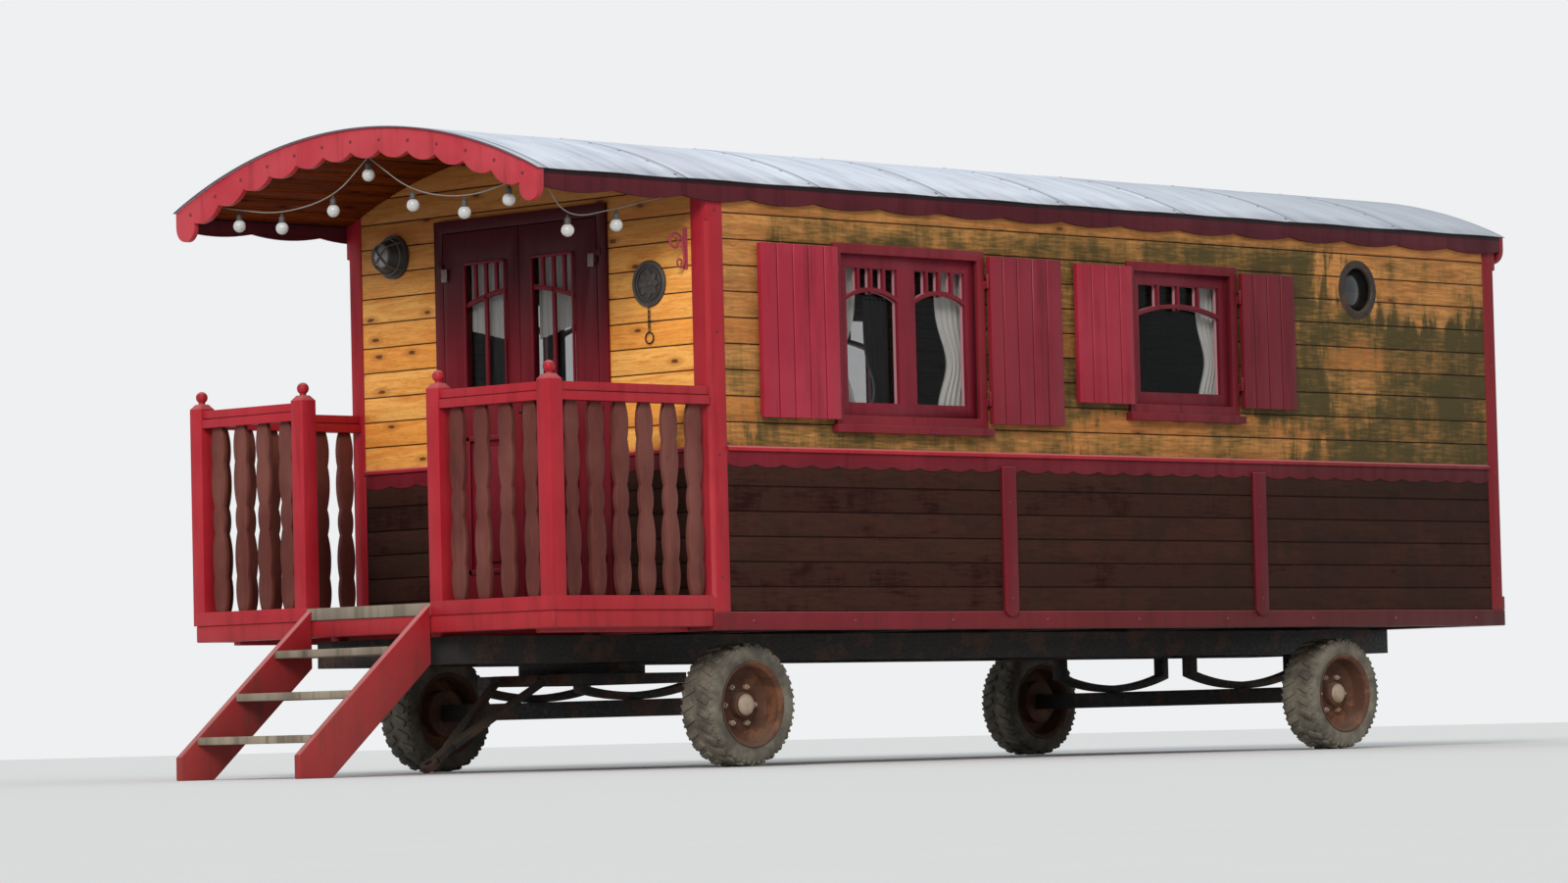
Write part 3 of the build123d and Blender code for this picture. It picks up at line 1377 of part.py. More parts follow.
with BuildPart() as light_eyes:
    for index, row in enumerate(CABLE_ROUTE):
        if "eye" in row[3]:
            held = bend_middle(CABLE_POINTS, CABLE_RADII, index)
            heading = CABLE_POINTS[index + 1] - CABLE_POINTS[index - 1]
            flat = Vector(heading.X, heading.Y, 0).normalized()
            ring_up = EYE_RING - EYE_WIRE - CABLE_D / 2 - SEAT_GAP
            ring_centre = held + Vector(0, 0, ring_up)
            with Locations(Plane(origin=ring_centre, z_dir=flat).location):
                Torus(EYE_RING, EYE_WIRE)
            ceiling = roof_z(abs(held.Y) + EYE_WIRE, UNDER_ROOF_R)
            shank = (ring_centre.Z + EYE_RING, ceiling)
            with Locations((held.X, held.Y, (shank[0] + shank[1]) / 2)):
                Cylinder(EYE_WIRE, shank[1] - shank[0])
    gland_end = CABLE_POINTS[-1]
    with BuildSketch(Plane.YZ.offset(FRONT)) as gland:
        with Locations((gland_end.Y, gland_end.Z)):
            Circle(GLAND_R)
    extrude(gland.sketch, amount=-(GLAND_T - CABLE_D / 2))
save(light_eyes, "light_eyes")

print("front wall at", round(FRONT, 1), "roof radius", round(ROOF_R, 1), "stair run", round(STAIR_RUN, 1))
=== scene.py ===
import json
from math import asin, cos, exp, pi, radians, sin

import bmesh
import bpy
from mathutils import Matrix, Vector

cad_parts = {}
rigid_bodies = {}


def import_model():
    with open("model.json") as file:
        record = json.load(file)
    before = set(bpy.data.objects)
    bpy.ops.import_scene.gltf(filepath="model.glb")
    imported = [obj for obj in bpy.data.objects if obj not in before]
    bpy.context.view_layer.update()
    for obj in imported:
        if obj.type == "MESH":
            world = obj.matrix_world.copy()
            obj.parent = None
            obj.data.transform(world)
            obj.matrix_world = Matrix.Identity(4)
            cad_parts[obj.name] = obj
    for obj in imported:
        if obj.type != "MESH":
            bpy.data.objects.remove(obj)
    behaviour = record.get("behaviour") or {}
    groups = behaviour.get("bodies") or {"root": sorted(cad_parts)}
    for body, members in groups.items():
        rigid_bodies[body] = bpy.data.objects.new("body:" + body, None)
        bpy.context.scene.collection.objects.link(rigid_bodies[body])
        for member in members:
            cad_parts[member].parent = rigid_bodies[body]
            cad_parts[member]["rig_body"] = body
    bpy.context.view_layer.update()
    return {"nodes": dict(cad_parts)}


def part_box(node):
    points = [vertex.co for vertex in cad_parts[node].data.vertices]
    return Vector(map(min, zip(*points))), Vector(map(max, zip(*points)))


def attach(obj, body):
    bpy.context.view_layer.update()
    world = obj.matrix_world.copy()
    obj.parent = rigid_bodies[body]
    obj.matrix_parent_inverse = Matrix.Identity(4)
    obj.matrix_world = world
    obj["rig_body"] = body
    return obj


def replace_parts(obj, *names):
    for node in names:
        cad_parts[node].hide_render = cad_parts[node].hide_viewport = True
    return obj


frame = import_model()

# %% [markdown]
# A red living wagon: an arched roof over a boarded cabin, a railed porch with steps, shuttered
# windows, a string of bulbs, and four small wheels. The packed model gives every size and place;
# this file gives it boards, paint, glass, cloth and the small fittings that the eye looks for.
# Places are read from the frame, so a change in the model moves what is dressed here too. All
# lengths are in metres.

# %% Places read from the frame
sill_low, sill_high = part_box("sill_frame")
FRONT, REAR = sill_low.x, sill_high.x
HALF_W = sill_high.y
SILL_Z, SILL_TOP = sill_low.z, sill_high.z
MID_RAIL_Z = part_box("wall_left_lower")[1].z
UPPER_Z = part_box("mid_rails")[1].z
side_low, side_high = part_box("wall_left_upper")
WALL_OUT, WALL_IN = -side_low.y, -side_high.y
SPAN_X = (side_low.x, side_high.x)
rear_low, rear_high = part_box("wall_rear_upper")
REAR_IN, REAR_FACE, SPAN_Y = rear_low.x, rear_high.x, rear_high.y
FRONT_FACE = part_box("wall_front_upper")[0].x
DECK_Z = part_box("floor")[1].z
ROOF_LOW, ROOF_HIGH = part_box("roof_sheet")
ROOF_R, ROOF_T = 2.9663, 0.030
UNDER_ROOF_R = ROOF_R - ROOF_T
ROOF_CZ = ROOF_HIGH.z - ROOF_R
EAVE_Z = 2.681
SIDES = {"left": -1, "right": 1}
print(f"body from {FRONT:.3f} to {REAR:.3f} m, half width {HALF_W:.3f}, mid rail {MID_RAIL_Z:.3f}")

# %% [markdown]
# The camera stands where the photograph was taken: almost on the ground, off the porch corner,
# far away. Only the lens is longer, so that the wagon fills the picture. The small roll is the
# photograph's own, which is why the wagon leans a little in it. The turn is built from the
# directions ahead, to the right and up, because those could be measured in the photograph.

# %% Camera
STANDPOINT = Vector((-20.249, -19.750, 0.1545))
AIM = Vector((-0.235, 0.090, 1.590))
PHOTO_RIGHT = Vector((0.4785, -0.8773, -0.0374))
SENSOR_MM, LENS_MM = 36, 131
FARTHEST = 200
ahead = (AIM - STANDPOINT).normalized()
rightward = (PHOTO_RIGHT - ahead * PHOTO_RIGHT.dot(ahead)).normalized()
upward = rightward.cross(ahead)
camera_data = bpy.data.cameras.new("photograph")
camera_data.sensor_width = SENSOR_MM
camera_data.lens = LENS_MM
camera_data.clip_end = FARTHEST
camera = bpy.data.objects.new("photograph", camera_data)
turn = Matrix((rightward, upward, -ahead)).transposed().to_4x4()
camera.matrix_world = Matrix.Translation(STANDPOINT) @ turn
bpy.context.scene.collection.objects.link(camera)
bpy.context.scene.camera = camera
print(f"camera {(AIM - STANDPOINT).length:.1f} m away")

# %% [markdown]
# Colours are written as they look on a screen, from 0 to 255, and turned into the linear values
# that shaders use. A material is a small recipe: one method adds a node and joins it, so each
# finish below reads as a list of what is laid over what. `over` is the one used most: it lays a
# colour over a tone where a pattern passes from `start` to `full`.

# %% Writing a material
def shade(red, green, blue):
    def linear(value):
        value /= 255
        return value / 12.92 if value <= 0.04045 else ((value + 0.055) / 1.055) ** 2.4

    return (linear(red), linear(green), linear(blue), 1.0)


def darker(colour, share):
    return tuple(share * value for value in colour[:3]) + (1,)


class Finish:
    """A node material as it is written: each method adds a node and gives back its result."""

    def __init__(self, name, **sockets):
        self.material = bpy.data.materials.new(name)
        self.material.use_nodes = True
        self.tree = self.material.node_tree
        self.shader = self.tree.nodes["Principled BSDF"]
        for label, value in sockets.items():
            self.shader.inputs[label.replace("_", " ")].default_value = value
        self.place = self.tree.nodes.new("ShaderNodeTexCoord").outputs["Object"]

    def feed(self, socket, value):
        if isinstance(value, bpy.types.NodeSocket):
            self.tree.links.new(value, socket)
        else:
            socket.default_value = value

    def maths(self, operation, first, second=0.0):
        node = self.tree.nodes.new("ShaderNodeMath")
        node.operation = operation
        for socket, value in zip(node.inputs, (first, second)):
            self.feed(socket, value)
        return node.outputs[0]

    def plus(self, first, second):
        return self.maths("ADD", first, second)

    def minus(self, first, second):
        return self.maths("SUBTRACT", first, second)

    def times(self, first, second):
        return self.maths("MULTIPLY", first, second)

    def per(self, first, second):
        return self.maths("DIVIDE", first, second)

    def size(self, value):
        return self.maths("ABSOLUTE", value)

    def axes(self, vector=None):
        node = self.tree.nodes.new("ShaderNodeSeparateXYZ")
        self.feed(node.inputs[0], vector or self.place)
        return node.outputs

    def vector(self, x, y, z):
        node = self.tree.nodes.new("ShaderNodeCombineXYZ")
        for socket, value in zip(node.inputs, (x, y, z)):
            self.feed(socket, value)
        return node.outputs[0]

    def stretched(self, scale, vector=None):
        node = self.tree.nodes.new("ShaderNodeMapping")
        self.feed(node.inputs["Vector"], vector or self.place)
        node.inputs["Scale"].default_value = scale
        return node.outputs[0]

    def noise(self, scale, vector=None, detail=4.0, rough=0.55, bend=0.0):
        node = self.tree.nodes.new("ShaderNodeTexNoise")
        self.feed(node.inputs["Vector"], vector or self.place)
        node.inputs["Scale"].default_value = scale
        node.inputs["Detail"].default_value = detail
        node.inputs["Roughness"].default_value = rough
        node.inputs["Distortion"].default_value = bend
        return node.outputs["Fac"]

    def random(self, value):
        node = self.tree.nodes.new("ShaderNodeTexWhiteNoise")
        node.noise_dimensions = "1D"
        self.feed(node.inputs["W"], value)
        return node.outputs["Value"]

    def between(self, value, start, full, share=1.0, rest=0.0):
        """Passes softly from `rest`, where a value is at `start`, to `share` at `full`."""
        node = self.tree.nodes.new("ShaderNodeMapRange")
        node.interpolation_type = "SMOOTHSTEP"
        for socket, number in zip(node.inputs, (value, start, full, rest, share)):
            self.feed(socket, number)
        return node.outputs[0]

    def mix(self, amount, first, second):
        node = self.tree.nodes.new("ShaderNodeMix")
        node.data_type = "RGBA"
        self.feed(node.inputs[0], amount)
        self.feed(node.inputs[6], first)
        self.feed(node.inputs[7], second)
        return node.outputs[2]

    def over(self, tone, colour, pattern, start, full, share=1.0, rest=0.0):
        return self.mix(self.between(pattern, start, full, share, rest), tone, colour)

    def facing_up(self):
        return self.axes(self.tree.nodes.new("ShaderNodeNewGeometry").outputs["Normal"])[2]

    def beyond_wall(self):
        """How far outside the faces of the cabin's walls a place is."""
        x, y = self.axes()[:2]
        beside = self.minus(self.size(y), WALL_OUT)
        behind = self.minus(x, REAR_FACE)
        before = self.minus(FRONT_FACE, x)
        return self.maths("MAXIMUM", beside, self.maths("MAXIMUM", behind, before))

    def colour(self, value):
        self.feed(self.shader.inputs["Base Color"], value)

    def rough(self, value, low, high):
        roughness = self.between(value, start=0.3, full=0.7, share=high, rest=low)
        self.feed(self.shader.inputs["Roughness"], roughness)

    def bump(self, height, depth, strength):
        node = self.tree.nodes.new("ShaderNodeBump")
        node.inputs["Strength"].default_value = strength
        node.inputs["Distance"].default_value = depth
        self.feed(node.inputs["Height"], height)
        self.feed(self.shader.inputs["Normal"], node.outputs[0])


print("a finish has", sum(callable(value) for value in vars(Finish).values()), "methods")

# %% [markdown]
# Gloss paint on wood is never one colour. The sun fades it in broad patches, rain leaves faint
# streaks down it, ledges that face the sky get a pale pink painted highlight of the sky, and small
# chips show dark wood. Towards the rear it is darker, partly dirt and partly painted shade, and
# low down it is splashed with mud. An image could be painted for each piece, but one recipe of
# noises serves every painted piece and stays sharp from near; only the colours and the amount of
# wear change.

# %% Paint
# pale pink of a painted highlight of the sky
PAINTED_SKY_PINK = shade(206, 130, 130)
BARE_WOOD = shade(78, 50, 42)
DRY_MUD = shade(92, 70, 54)
# black of painted shade
PAINTED_SHADE_BLACK = shade(22, 16, 18)
UNEVEN_GLOSS = 0.22
COAT = {"Coat_Weight": 0.08, "Coat_Roughness": 0.30}


def paint(
    name,
    colour,
    faded,
    worn=0.35,
    gloss=0.42,
    shine=0.24,
    deeper=None,
    sky_highlight=0.5,
    painted_shade_band=None,
    rear_dirt_and_shade=0.7,
):
    """Gloss paint. `deeper` is a colour with the depths at the wall and the shares of `over`.

    `worn` is how many chips it has, `gloss` its roughness, `shine` how much it mirrors,
    `sky_highlight` is how far a face that looks up gets a pale pink painted highlight of the sky,
    `painted_shade_band` gives two heights between which painted shade turns the paint black and
    how far, and `rear_dirt_and_shade` is how far it darkens at the wagon's rear end, partly dirt
    and partly painted shade."""
    colour, faded = shade(*colour), shade(*faded)
    finish = Finish(name, Specular_IOR_Level=shine, **COAT)
    x, _, height = finish.axes()
    patches = finish.noise(1.9, detail=4)
    streaks = finish.noise(12, finish.stretched((1, 1, 0.10)), detail=6, rough=0.62)
    strokes = finish.noise(70, finish.stretched((1, 1, 0.20)), detail=3)
    tone = finish.over(colour, faded, patches, start=0.38, full=0.66, share=0.6)
    tone = finish.over(tone, darker(colour, 0.42), streaks, start=0.50, full=0.74, share=0.55)
    tone = finish.over(tone, darker(faded, 1.25), strokes, start=0.55, full=0.80, share=0.22)
    # darker towards the rear end: partly dirt, partly painted shade
    tone = finish.over(tone, darker(colour, 0.25), x, start=FRONT + 1.0, full=REAR, share=rear_dirt_and_shade)
    if deeper:
        tone = finish.over(tone, deeper[0], finish.beyond_wall(), *deeper[1:])
    # painted highlight: faces that look up turn pale pink, as if they mirrored the sky
    tone = finish.over(tone, PAINTED_SKY_PINK, finish.facing_up(), start=0.35, full=0.95, share=sky_highlight)
    flakes = finish.noise(30, finish.stretched((1, 1, 0.55)), detail=7, rough=0.72)
    chips = finish.between(flakes, start=0.66, full=0.685, share=worn)
    tone = finish.mix(chips, tone, BARE_WOOD)
    splashed = finish.between(height, start=0.95, full=0.25, share=0.6)
    tone = finish.mix(finish.times(splashed, streaks), tone, DRY_MUD)
    # painted shade: between two heights the paint turns black, under the eave and the porch roof
    if painted_shade_band:
        tone = finish.over(tone, PAINTED_SHADE_BLACK, height, *painted_shade_band)
    finish.colour(tone)
    finish.rough(streaks, gloss, gloss + UNEVEN_GLOSS)
    relief = finish.minus(strokes, finish.times(chips, 1.5))
    finish.bump(relief, depth=0.0012, strength=0.4)
    return finish.material


print("wood under chipped paint:", [round(value, 3) for value in BARE_WOOD[:3]])

# %% [markdown]
# The reds of this wagon. Corner posts and rails are the brightest, the shutters are crimson, and
# frames, doors and casings are deeper. The rear shutter leaves get a darker copy of the crimson,
# which is painted shade. The valance hangs in the shade of the eave; its dark red is partly
# painted shade, and a black painted shadow line runs along its top. The doors darken upwards with
# painted shade under the porch roof. The sashes have a rebate that mirrors the sky, so there the
# paint turns pale a little way inside the wall's face, as a painted reflection of the sky.

# %% The wagon's reds
VALANCE_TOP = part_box("eave_valances")[1].z
SHADOW_LINE = (VALANCE_TOP - 0.026, VALANCE_TOP - 0.018, 0.85)
PORCH_SHADE = (1.85, 2.45, 0.7)
# painted reflection of the sky in the sash rebate
PAINTED_SKY_ON_REBATE = (shade(196, 146, 152), -0.027, -0.023, 0, 0.85)
bright_red = paint("bright_red_paint", (160, 24, 38), (178, 42, 52), sky_highlight=0.7)
stair_red = paint("stair_paint", (156, 26, 38), (174, 44, 52), worn=0.6, sky_highlight=0.95)
board_red = paint("front_board_paint", (176, 44, 56), (194, 72, 80))
deep_red = paint("deep_red_paint", (104, 14, 28), (124, 28, 42), shine=0.18)
door_red = paint("door_paint", (108, 14, 28), (124, 28, 40), shine=0.14, painted_shade_band=PORCH_SHADE)
crimson = paint("shutter_paint", (154, 30, 50), (172, 50, 68), worn=0.5)
# painted shade: a darker copy of the shutter red, for the rear leaves
shaded_shutter_red = paint("sheltered_shutter_paint", (122, 22, 38), (138, 36, 52), worn=0.4)
casing_red = paint("casing_paint", (112, 22, 34), (132, 38, 48), shine=0.18)
sash_red = paint("sash_paint", (106, 18, 34), (128, 34, 48), shine=0.18, deeper=PAINTED_SKY_ON_REBATE)
# its dark red is partly painted shade of the eave
valance_red = paint(
    "valance_paint",
    (72, 18, 28),
    (92, 32, 40),
    worn=0.6,
    gloss=0.5,
    shine=0.14,
    painted_shade_band=SHADOW_LINE,
    rear_dirt_and_shade=0.0,
)
baluster_red = paint(
    "baluster_paint", (92, 44, 38), (124, 76, 66), worn=0.9, gloss=0.55, shine=0.16
)
print("paints:", len(bpy.data.materials))

# %% [markdown]
# The walls are clad with planed pine boards, stained and then left to the weather. Each board
# took the stain in its own way, so a random value for each board number sets its tone. Grain
# runs along the board, and knots are dark and round. Along a side wall the board runs in X, along
# an end wall in Y; their sum serves both, because the other one stays the same there. Green-grey
# weathering is one sum of streaks, clouds and grain, and places that have stayed clean, such as
# the strip under the eave, are taken off that sum before it becomes a colour. So a clean place
# has no outline of its own: the streaks thin out towards it, as they do on a real wall.

# %% Weathering
OVAL_INSIDE, OVAL_OUTSIDE = 0.9, 1.9


def near(finish, x, z, place, reach, ragged):
    """One inside an oval on a wall, with a ragged edge, and nought outside."""
    across = finish.per(finish.minus(x, place[0]), reach[0])
    up = finish.per(finish.minus(z, place[1]), reach[1])
    squares = finish.plus(finish.times(across, across), finish.times(up, up))
    distance = finish.plus(squares, ragged)
    return finish.between(distance, OVAL_INSIDE, OVAL_OUTSIDE, share=0, rest=1)


def weathered(finish, tone, pick, top, stain, green, amount, kept):
    """Soiling in upright streaks and broad clouds, board by board; `kept` lists cleaner places."""
    x, y, z = finish.axes()
    streaks = finish.noise(15, finish.stretched((1, 1, 0.20)), detail=7, rough=0.7)
    clouds = finish.noise(2.3, finish.stretched((1, 1, 1.5)), detail=5, rough=0.62, bend=0.5)
    flow = finish.vector(finish.plus(x, y), finish.times(z, 9.0), pick)
    grain = finish.noise(9, flow, detail=5)
    soil = finish.times(streaks, 0.26)
    for pattern, share in ((clouds, 0.46), (grain, 0.28), (pick, 0.06)):
        soil = finish.plus(soil, finish.times(pattern, share))
    rearward = finish.between(x, start=FRONT + 2.0, full=FRONT + 4.4, share=0.065)
    under_eave = finish.between(z, start=top - 0.20, full=top - 0.06, share=0.17)
    soil = finish.minus(finish.plus(soil, rearward), under_eave)
    ragged = finish.times(finish.minus(streaks, 0.5), 4.0)
    for place, reach, share in kept:
        clean = near(finish, x, z, place, reach, ragged)
        soil = finish.minus(soil, finish.times(clean, share))
    tone = finish.over(tone, stain, soil, start=0.38, full=0.57, share=amount)
    return finish.over(tone, green, soil, start=0.49, full=0.64, share=0.92 * amount)


print("a clean oval fades from", OVAL_INSIDE, "to", OVAL_OUTSIDE, "of its squared reach")

# %% [markdown]
# One recipe for all boards. The place across the boards, divided by their pitch, gives a number
# for each board and a place within it: from the number come its tone and its grain, from the
# place the dark seam at its edges. The grain is noise that is stretched along the board, and the
# knots are the middles of cells that a Voronoi texture spreads, of which only a few are shown.

# %% Boards
GRAIN_ALONG, FINE_ALONG = 11.0, 14.0
BOARD_SHIFT = 37.0
KNOTS_PER_M = 3.1


def boards(
    name,
    tones,
    knot,
    seam,
    pitch,
    weather=None,
    along="XY",
    gloss=0.5,
    knotty=0.55,
    shine=0.2,
    deeper=None,
    painted_shade_near_top=None,
):
    """Planed boards, with a seam at one place and each board a pitch wide.

    `deeper` is a colour with the depths at the wall and the shares of `over`, and
    `painted_shade_near_top` is the colour of painted shade near the top, with two heights and a
    share."""
    finish = Finish(name, Specular_IOR_Level=shine)
    light, warm, dark, knot = (shade(*tone) for tone in (*tones, knot))
    x, y, z = finish.axes()
    if along == "XY":
        run, across = finish.plus(x, y), z
    else:
        run, across = (x, y) if along == "X" else (y, x)
    row = finish.per(finish.minus(across, seam), pitch)
    pick = finish.random(finish.maths("FLOOR", row))
    along_board = finish.plus(run, finish.times(pick, BOARD_SHIFT))
    flow = finish.vector(along_board, finish.times(across, GRAIN_ALONG), pick)
    figure = finish.noise(2.6, flow, detail=6, rough=0.6, bend=0.9)
    rings = finish.noise(7, flow, detail=5, rough=0.6, bend=1.4)
    fine_flow = finish.vector(run, finish.times(across, FINE_ALONG), pick)
    fine = finish.noise(34, fine_flow, detail=4)
    tone = finish.over(light, warm, pick, start=0.1, full=0.9)
    tone = finish.over(tone, dark, figure, start=0.40, full=0.68, share=0.8)
    tone = finish.over(tone, darker(dark, 0.72), rings, start=0.52, full=0.66, share=0.5)
    tone = finish.over(tone, knot, fine, start=0.5, full=0.75, share=0.35)
    spots = finish.tree.nodes.new("ShaderNodeTexVoronoi")
    spots.voronoi_dimensions = "2D"
    spots.inputs["Scale"].default_value = 1.0
    cells = finish.vector(finish.times(along_board, KNOTS_PER_M), row, 0.0)
    finish.feed(spots.inputs["Vector"], cells)
    wobble = finish.times(finish.minus(rings, 0.5), 0.16)
    distance = finish.plus(spots.outputs["Distance"], wobble)
    rare = finish.between(finish.axes(spots.outputs["Color"])[0], knotty, knotty + 0.04)
    halo = finish.between(distance, start=0.10, full=0.26, share=0, rest=0.5)
    core = finish.between(distance, start=0.05, full=0.10, share=0, rest=0.92)
    tone = finish.mix(finish.times(halo, rare), tone, darker(dark, 0.6))
    tone = finish.mix(finish.times(core, rare), tone, knot)
    if weather:
        tone = weathered(finish, tone, pick, *weather)
    # painted shade: darker towards the top, under the porch roof
    if painted_shade_near_top:
        tone = finish.over(tone, painted_shade_near_top[0], z, *painted_shade_near_top[1:])
    from_middle = finish.size(finish.minus(finish.maths("FRACT", row), 0.5))
    tone = finish.over(tone, darker(knot, 0.6), from_middle, start=0.44, full=0.497, share=0.6)
    if deeper:
        tone = finish.over(tone, deeper[0], finish.beyond_wall(), *deeper[1:])
    finish.colour(tone)
    finish.rough(fine, gloss, gloss + UNEVEN_GLOSS)
    finish.bump(finish.plus(fine, figure), depth=0.0016, strength=0.5)
    return finish.material


print("cells for knots in a metre of board:", KNOTS_PER_M)

# %% [markdown]
# The woods of this wagon. Under the porch roof the pine is still golden, its colour brightened
# with painted light, and near the ceiling it darkens with painted shade; on the side walls it is
# brown and green; below the mid rail the boards are stained nearly black. Inside, the lining is
# darker than the pine outside, as painted shade. In each joint and at the cut edges of openings
# the wood is darker, partly because dirt stays there and partly as painted shade. Each row of
# `CLEANER` holds a place on the side walls, how far it reaches, and how much cleaner it is.

# %% The wagon's woods
BOARD_PITCH = 0.120
LOWER_ROWS = 6
LOWER_PITCH = (MID_RAIL_Z - SILL_TOP) / LOWER_ROWS
CLEANER = [
    ((FRONT + 3.35, UPPER_Z + 0.09), (0.75, 0.13), 0.11),
    ((FRONT + 4.62, UPPER_Z + 0.66), (0.20, 0.42), 0.06),
    ((FRONT + 5.30, UPPER_Z + 1.02), (0.74, 0.24), 0.15),
    ((FRONT + 0.15, UPPER_Z + 0.75), (0.26, 0.60), 0.11),
]
# darker in board joints and at the cut edges of openings: partly dirt, partly painted shade
GROOVE_DIRT_AND_SHADE = (shade(70, 38, 24), 0.0012, 0.0050, 0.0, 0.8)
# painted light: the sheltered pine's colour is brightened to stand for the light on the front wall
front_pine = boards(
    "sheltered_pine",
    ((250, 168, 76), (254, 188, 98), (230, 138, 54)),
    (96, 48, 18),
    UPPER_Z,
    BOARD_PITCH,
    knotty=0.30,
    deeper=GROOVE_DIRT_AND_SHADE,
    painted_shade_near_top=(shade(96, 46, 20), 2.20, 2.60, 0.65),
)
side_pine = boards(
    "weathered_pine",
    ((182, 118, 62), (194, 137, 78), (146, 88, 45)),
    (66, 42, 24),
    UPPER_Z,
    BOARD_PITCH,
    weather=(EAVE_Z, shade(116, 88, 46), shade(58, 55, 31), 0.9, CLEANER),
    gloss=0.6,
    shine=0.14,
    deeper=GROOVE_DIRT_AND_SHADE,
)
# painted shade: the lining is darker than the outside pine; its dark red-brown outer zone at the
# reveals is partly paint, partly painted shade
lining_pine = boards(
    "lining_pine",
    ((140, 98, 60), (150, 110, 72), (120, 80, 48)),
    (66, 42, 24),
    UPPER_Z,
    BOARD_PITCH,
    deeper=(shade(58, 24, 24), -0.057, -0.053),
)
dark_boards = boards(
    "dark_stained_boards",
    ((42, 20, 17), (60, 32, 26), (31, 14, 12)),
    (16, 8, 6),
    SILL_TOP,
    LOWER_PITCH,
    weather=(MID_RAIL_Z + 0.2, shade(72, 46, 38), shade(34, 28, 22), 0.55, []),
    gloss=0.62,
    knotty=0.7,
    shine=0.05,
)
ceiling_pine = boards(
    "ceiling_boards",
    ((106, 44, 10), (122, 54, 14), (72, 30, 6)),
    (36, 16, 6),
    0.0,
    0.11,
    along="X",
    shine=0.02,
)
grey_boards = boards(
    "weathered_deck_boards",
    ((136, 126, 112), (152, 140, 124), (104, 94, 82)),
    (66, 56, 48),
    0.0,
    0.12,
    along="Y",
    gloss=0.7,
)
floor_boards = boards(
    "cabin_floor_boards",
    ((120, 84, 56), (136, 98, 66), (92, 62, 40)),
    (56, 38, 26),
    0.0,
    0.14,
    along="X",
)
print("boards: pitch", BOARD_PITCH, "upper,", round(LOWER_PITCH, 4), "lower")

# %% [markdown]
# The roof is galvanised sheet, pale and blue: its own grey-blue with a painted reflection of the
# sky in it. It has grey streaks down both slopes, a painted shadow where one sheet laps the next,
# a painted shade line along its front edge and its eaves, and it is darker towards the rear,
# partly dirt and partly painted shade.

# %% Roof metal
SHEETS, LAP = 8, 0.060
SHEET_LENGTH = (ROOF_HIGH.x - ROOF_LOW.x + (SHEETS - 1) * LAP) / SHEETS
SHEET_PITCH = SHEET_LENGTH - LAP


def galvanised(name):
    roof = Finish(name, Specular_IOR_Level=0.16)
    x, y = roof.axes()[:2]
    aside = roof.size(y)
    runs = roof.noise(9, roof.vector(x, roof.times(y, 0.16), 0.0), detail=7, rough=0.66)
    spangle = roof.noise(34, detail=5)
    clouds = roof.noise(1.5, detail=4)
    # the blue is partly the metal's own and partly a painted reflection of the sky
    tone = roof.over(shade(226, 233, 244), shade(204, 212, 227), runs, start=0.40, full=0.66)
    tone = roof.over(tone, shade(192, 194, 206), clouds, start=0.48, full=0.66, share=0.4)
    tone = roof.over(tone, shade(138, 140, 144), runs, start=0.60, full=0.78, share=0.4)
    tone = roof.over(tone, shade(126, 124, 122), spangle, start=0.60, full=0.80, share=0.3)
    # painted shadow where one sheet laps the next
    place = roof.maths("FRACT", roof.per(roof.minus(x, ROOF_LOW.x), SHEET_PITCH))
    from_lap = roof.size(roof.minus(place, 0.072))
    line = roof.between(from_lap, start=0.004, full=0.016, share=0, rest=0.75)
    below = roof.between(place, start=0.0, full=0.07, share=0.35)
    covered = roof.between(place, start=0.07, full=0.075, share=0, rest=1)
    lapped = roof.maths("MAXIMUM", line, roof.times(below, covered))
    tone = roof.mix(lapped, tone, shade(104, 104, 106))
    grime = roof.between(aside, start=1.12, full=1.27, share=0.55)
    tone = roof.mix(roof.times(grime, runs), tone, shade(88, 86, 80))
    # darker towards the rear: partly dirt, partly painted shade
    tone = roof.over(tone, shade(150, 156, 162), x, start=FRONT + 2.0, full=REAR, share=0.55)
    # painted shade: a dark line along the front edge and the eaves
    front_edge_shade = roof.between(x, ROOF_LOW.x + 0.012, ROOF_LOW.x + 0.006, share=0.85)
    eave_edge_shade = roof.between(aside, ROOF_HIGH.y - 0.008, ROOF_HIGH.y - 0.004, share=0.85)
    tone = roof.mix(roof.maths("MAXIMUM", front_edge_shade, eave_edge_shade), tone, shade(46, 46, 52))
    roof.colour(tone)
    roof.rough(spangle, 0.66, 0.84)
    roof.bump(spangle, depth=0.001, strength=0.3)
    return roof.material


roof_metal = galvanised("galvanised_roof")
print("roof sheets of", round(SHEET_LENGTH, 3), "m, lapped by", LAP)

# %% [markdown]
# The other metals. The chassis is old black paint that rusts, the wheels are rusty brown, and
# bolts and lamp parts are metal gone dull. Rust comes in patches and in fine specks, and road
# dust settles on what looks up. One recipe makes them all, with its own colours for each.

# %% Rusty metals
ROAD_DUST = shade(120, 106, 90)


def rusty(name, colour, rust, amount, gloss=0.5, metal=0.0):
    colour, rust = shade(*colour), shade(*rust)
    finish = Finish(name, Metallic=metal, Specular_IOR_Level=0.35)
    patches = finish.noise(7, detail=7, rough=0.65)
    fine = finish.noise(70, detail=4)
    tone = finish.over(colour, rust, patches, start=0.50, full=0.62, share=amount)
    tone = finish.over(tone, ROAD_DUST, finish.facing_up(), start=0.3, full=0.9, share=0.35)
    tone = finish.over(tone, darker(rust, 0.5), fine, start=0.55, full=0.8, share=0.35)
    finish.colour(tone)
    finish.rough(fine, gloss, gloss + 0.3)
    finish.bump(fine, depth=0.0015, strength=0.4)
    return finish.material


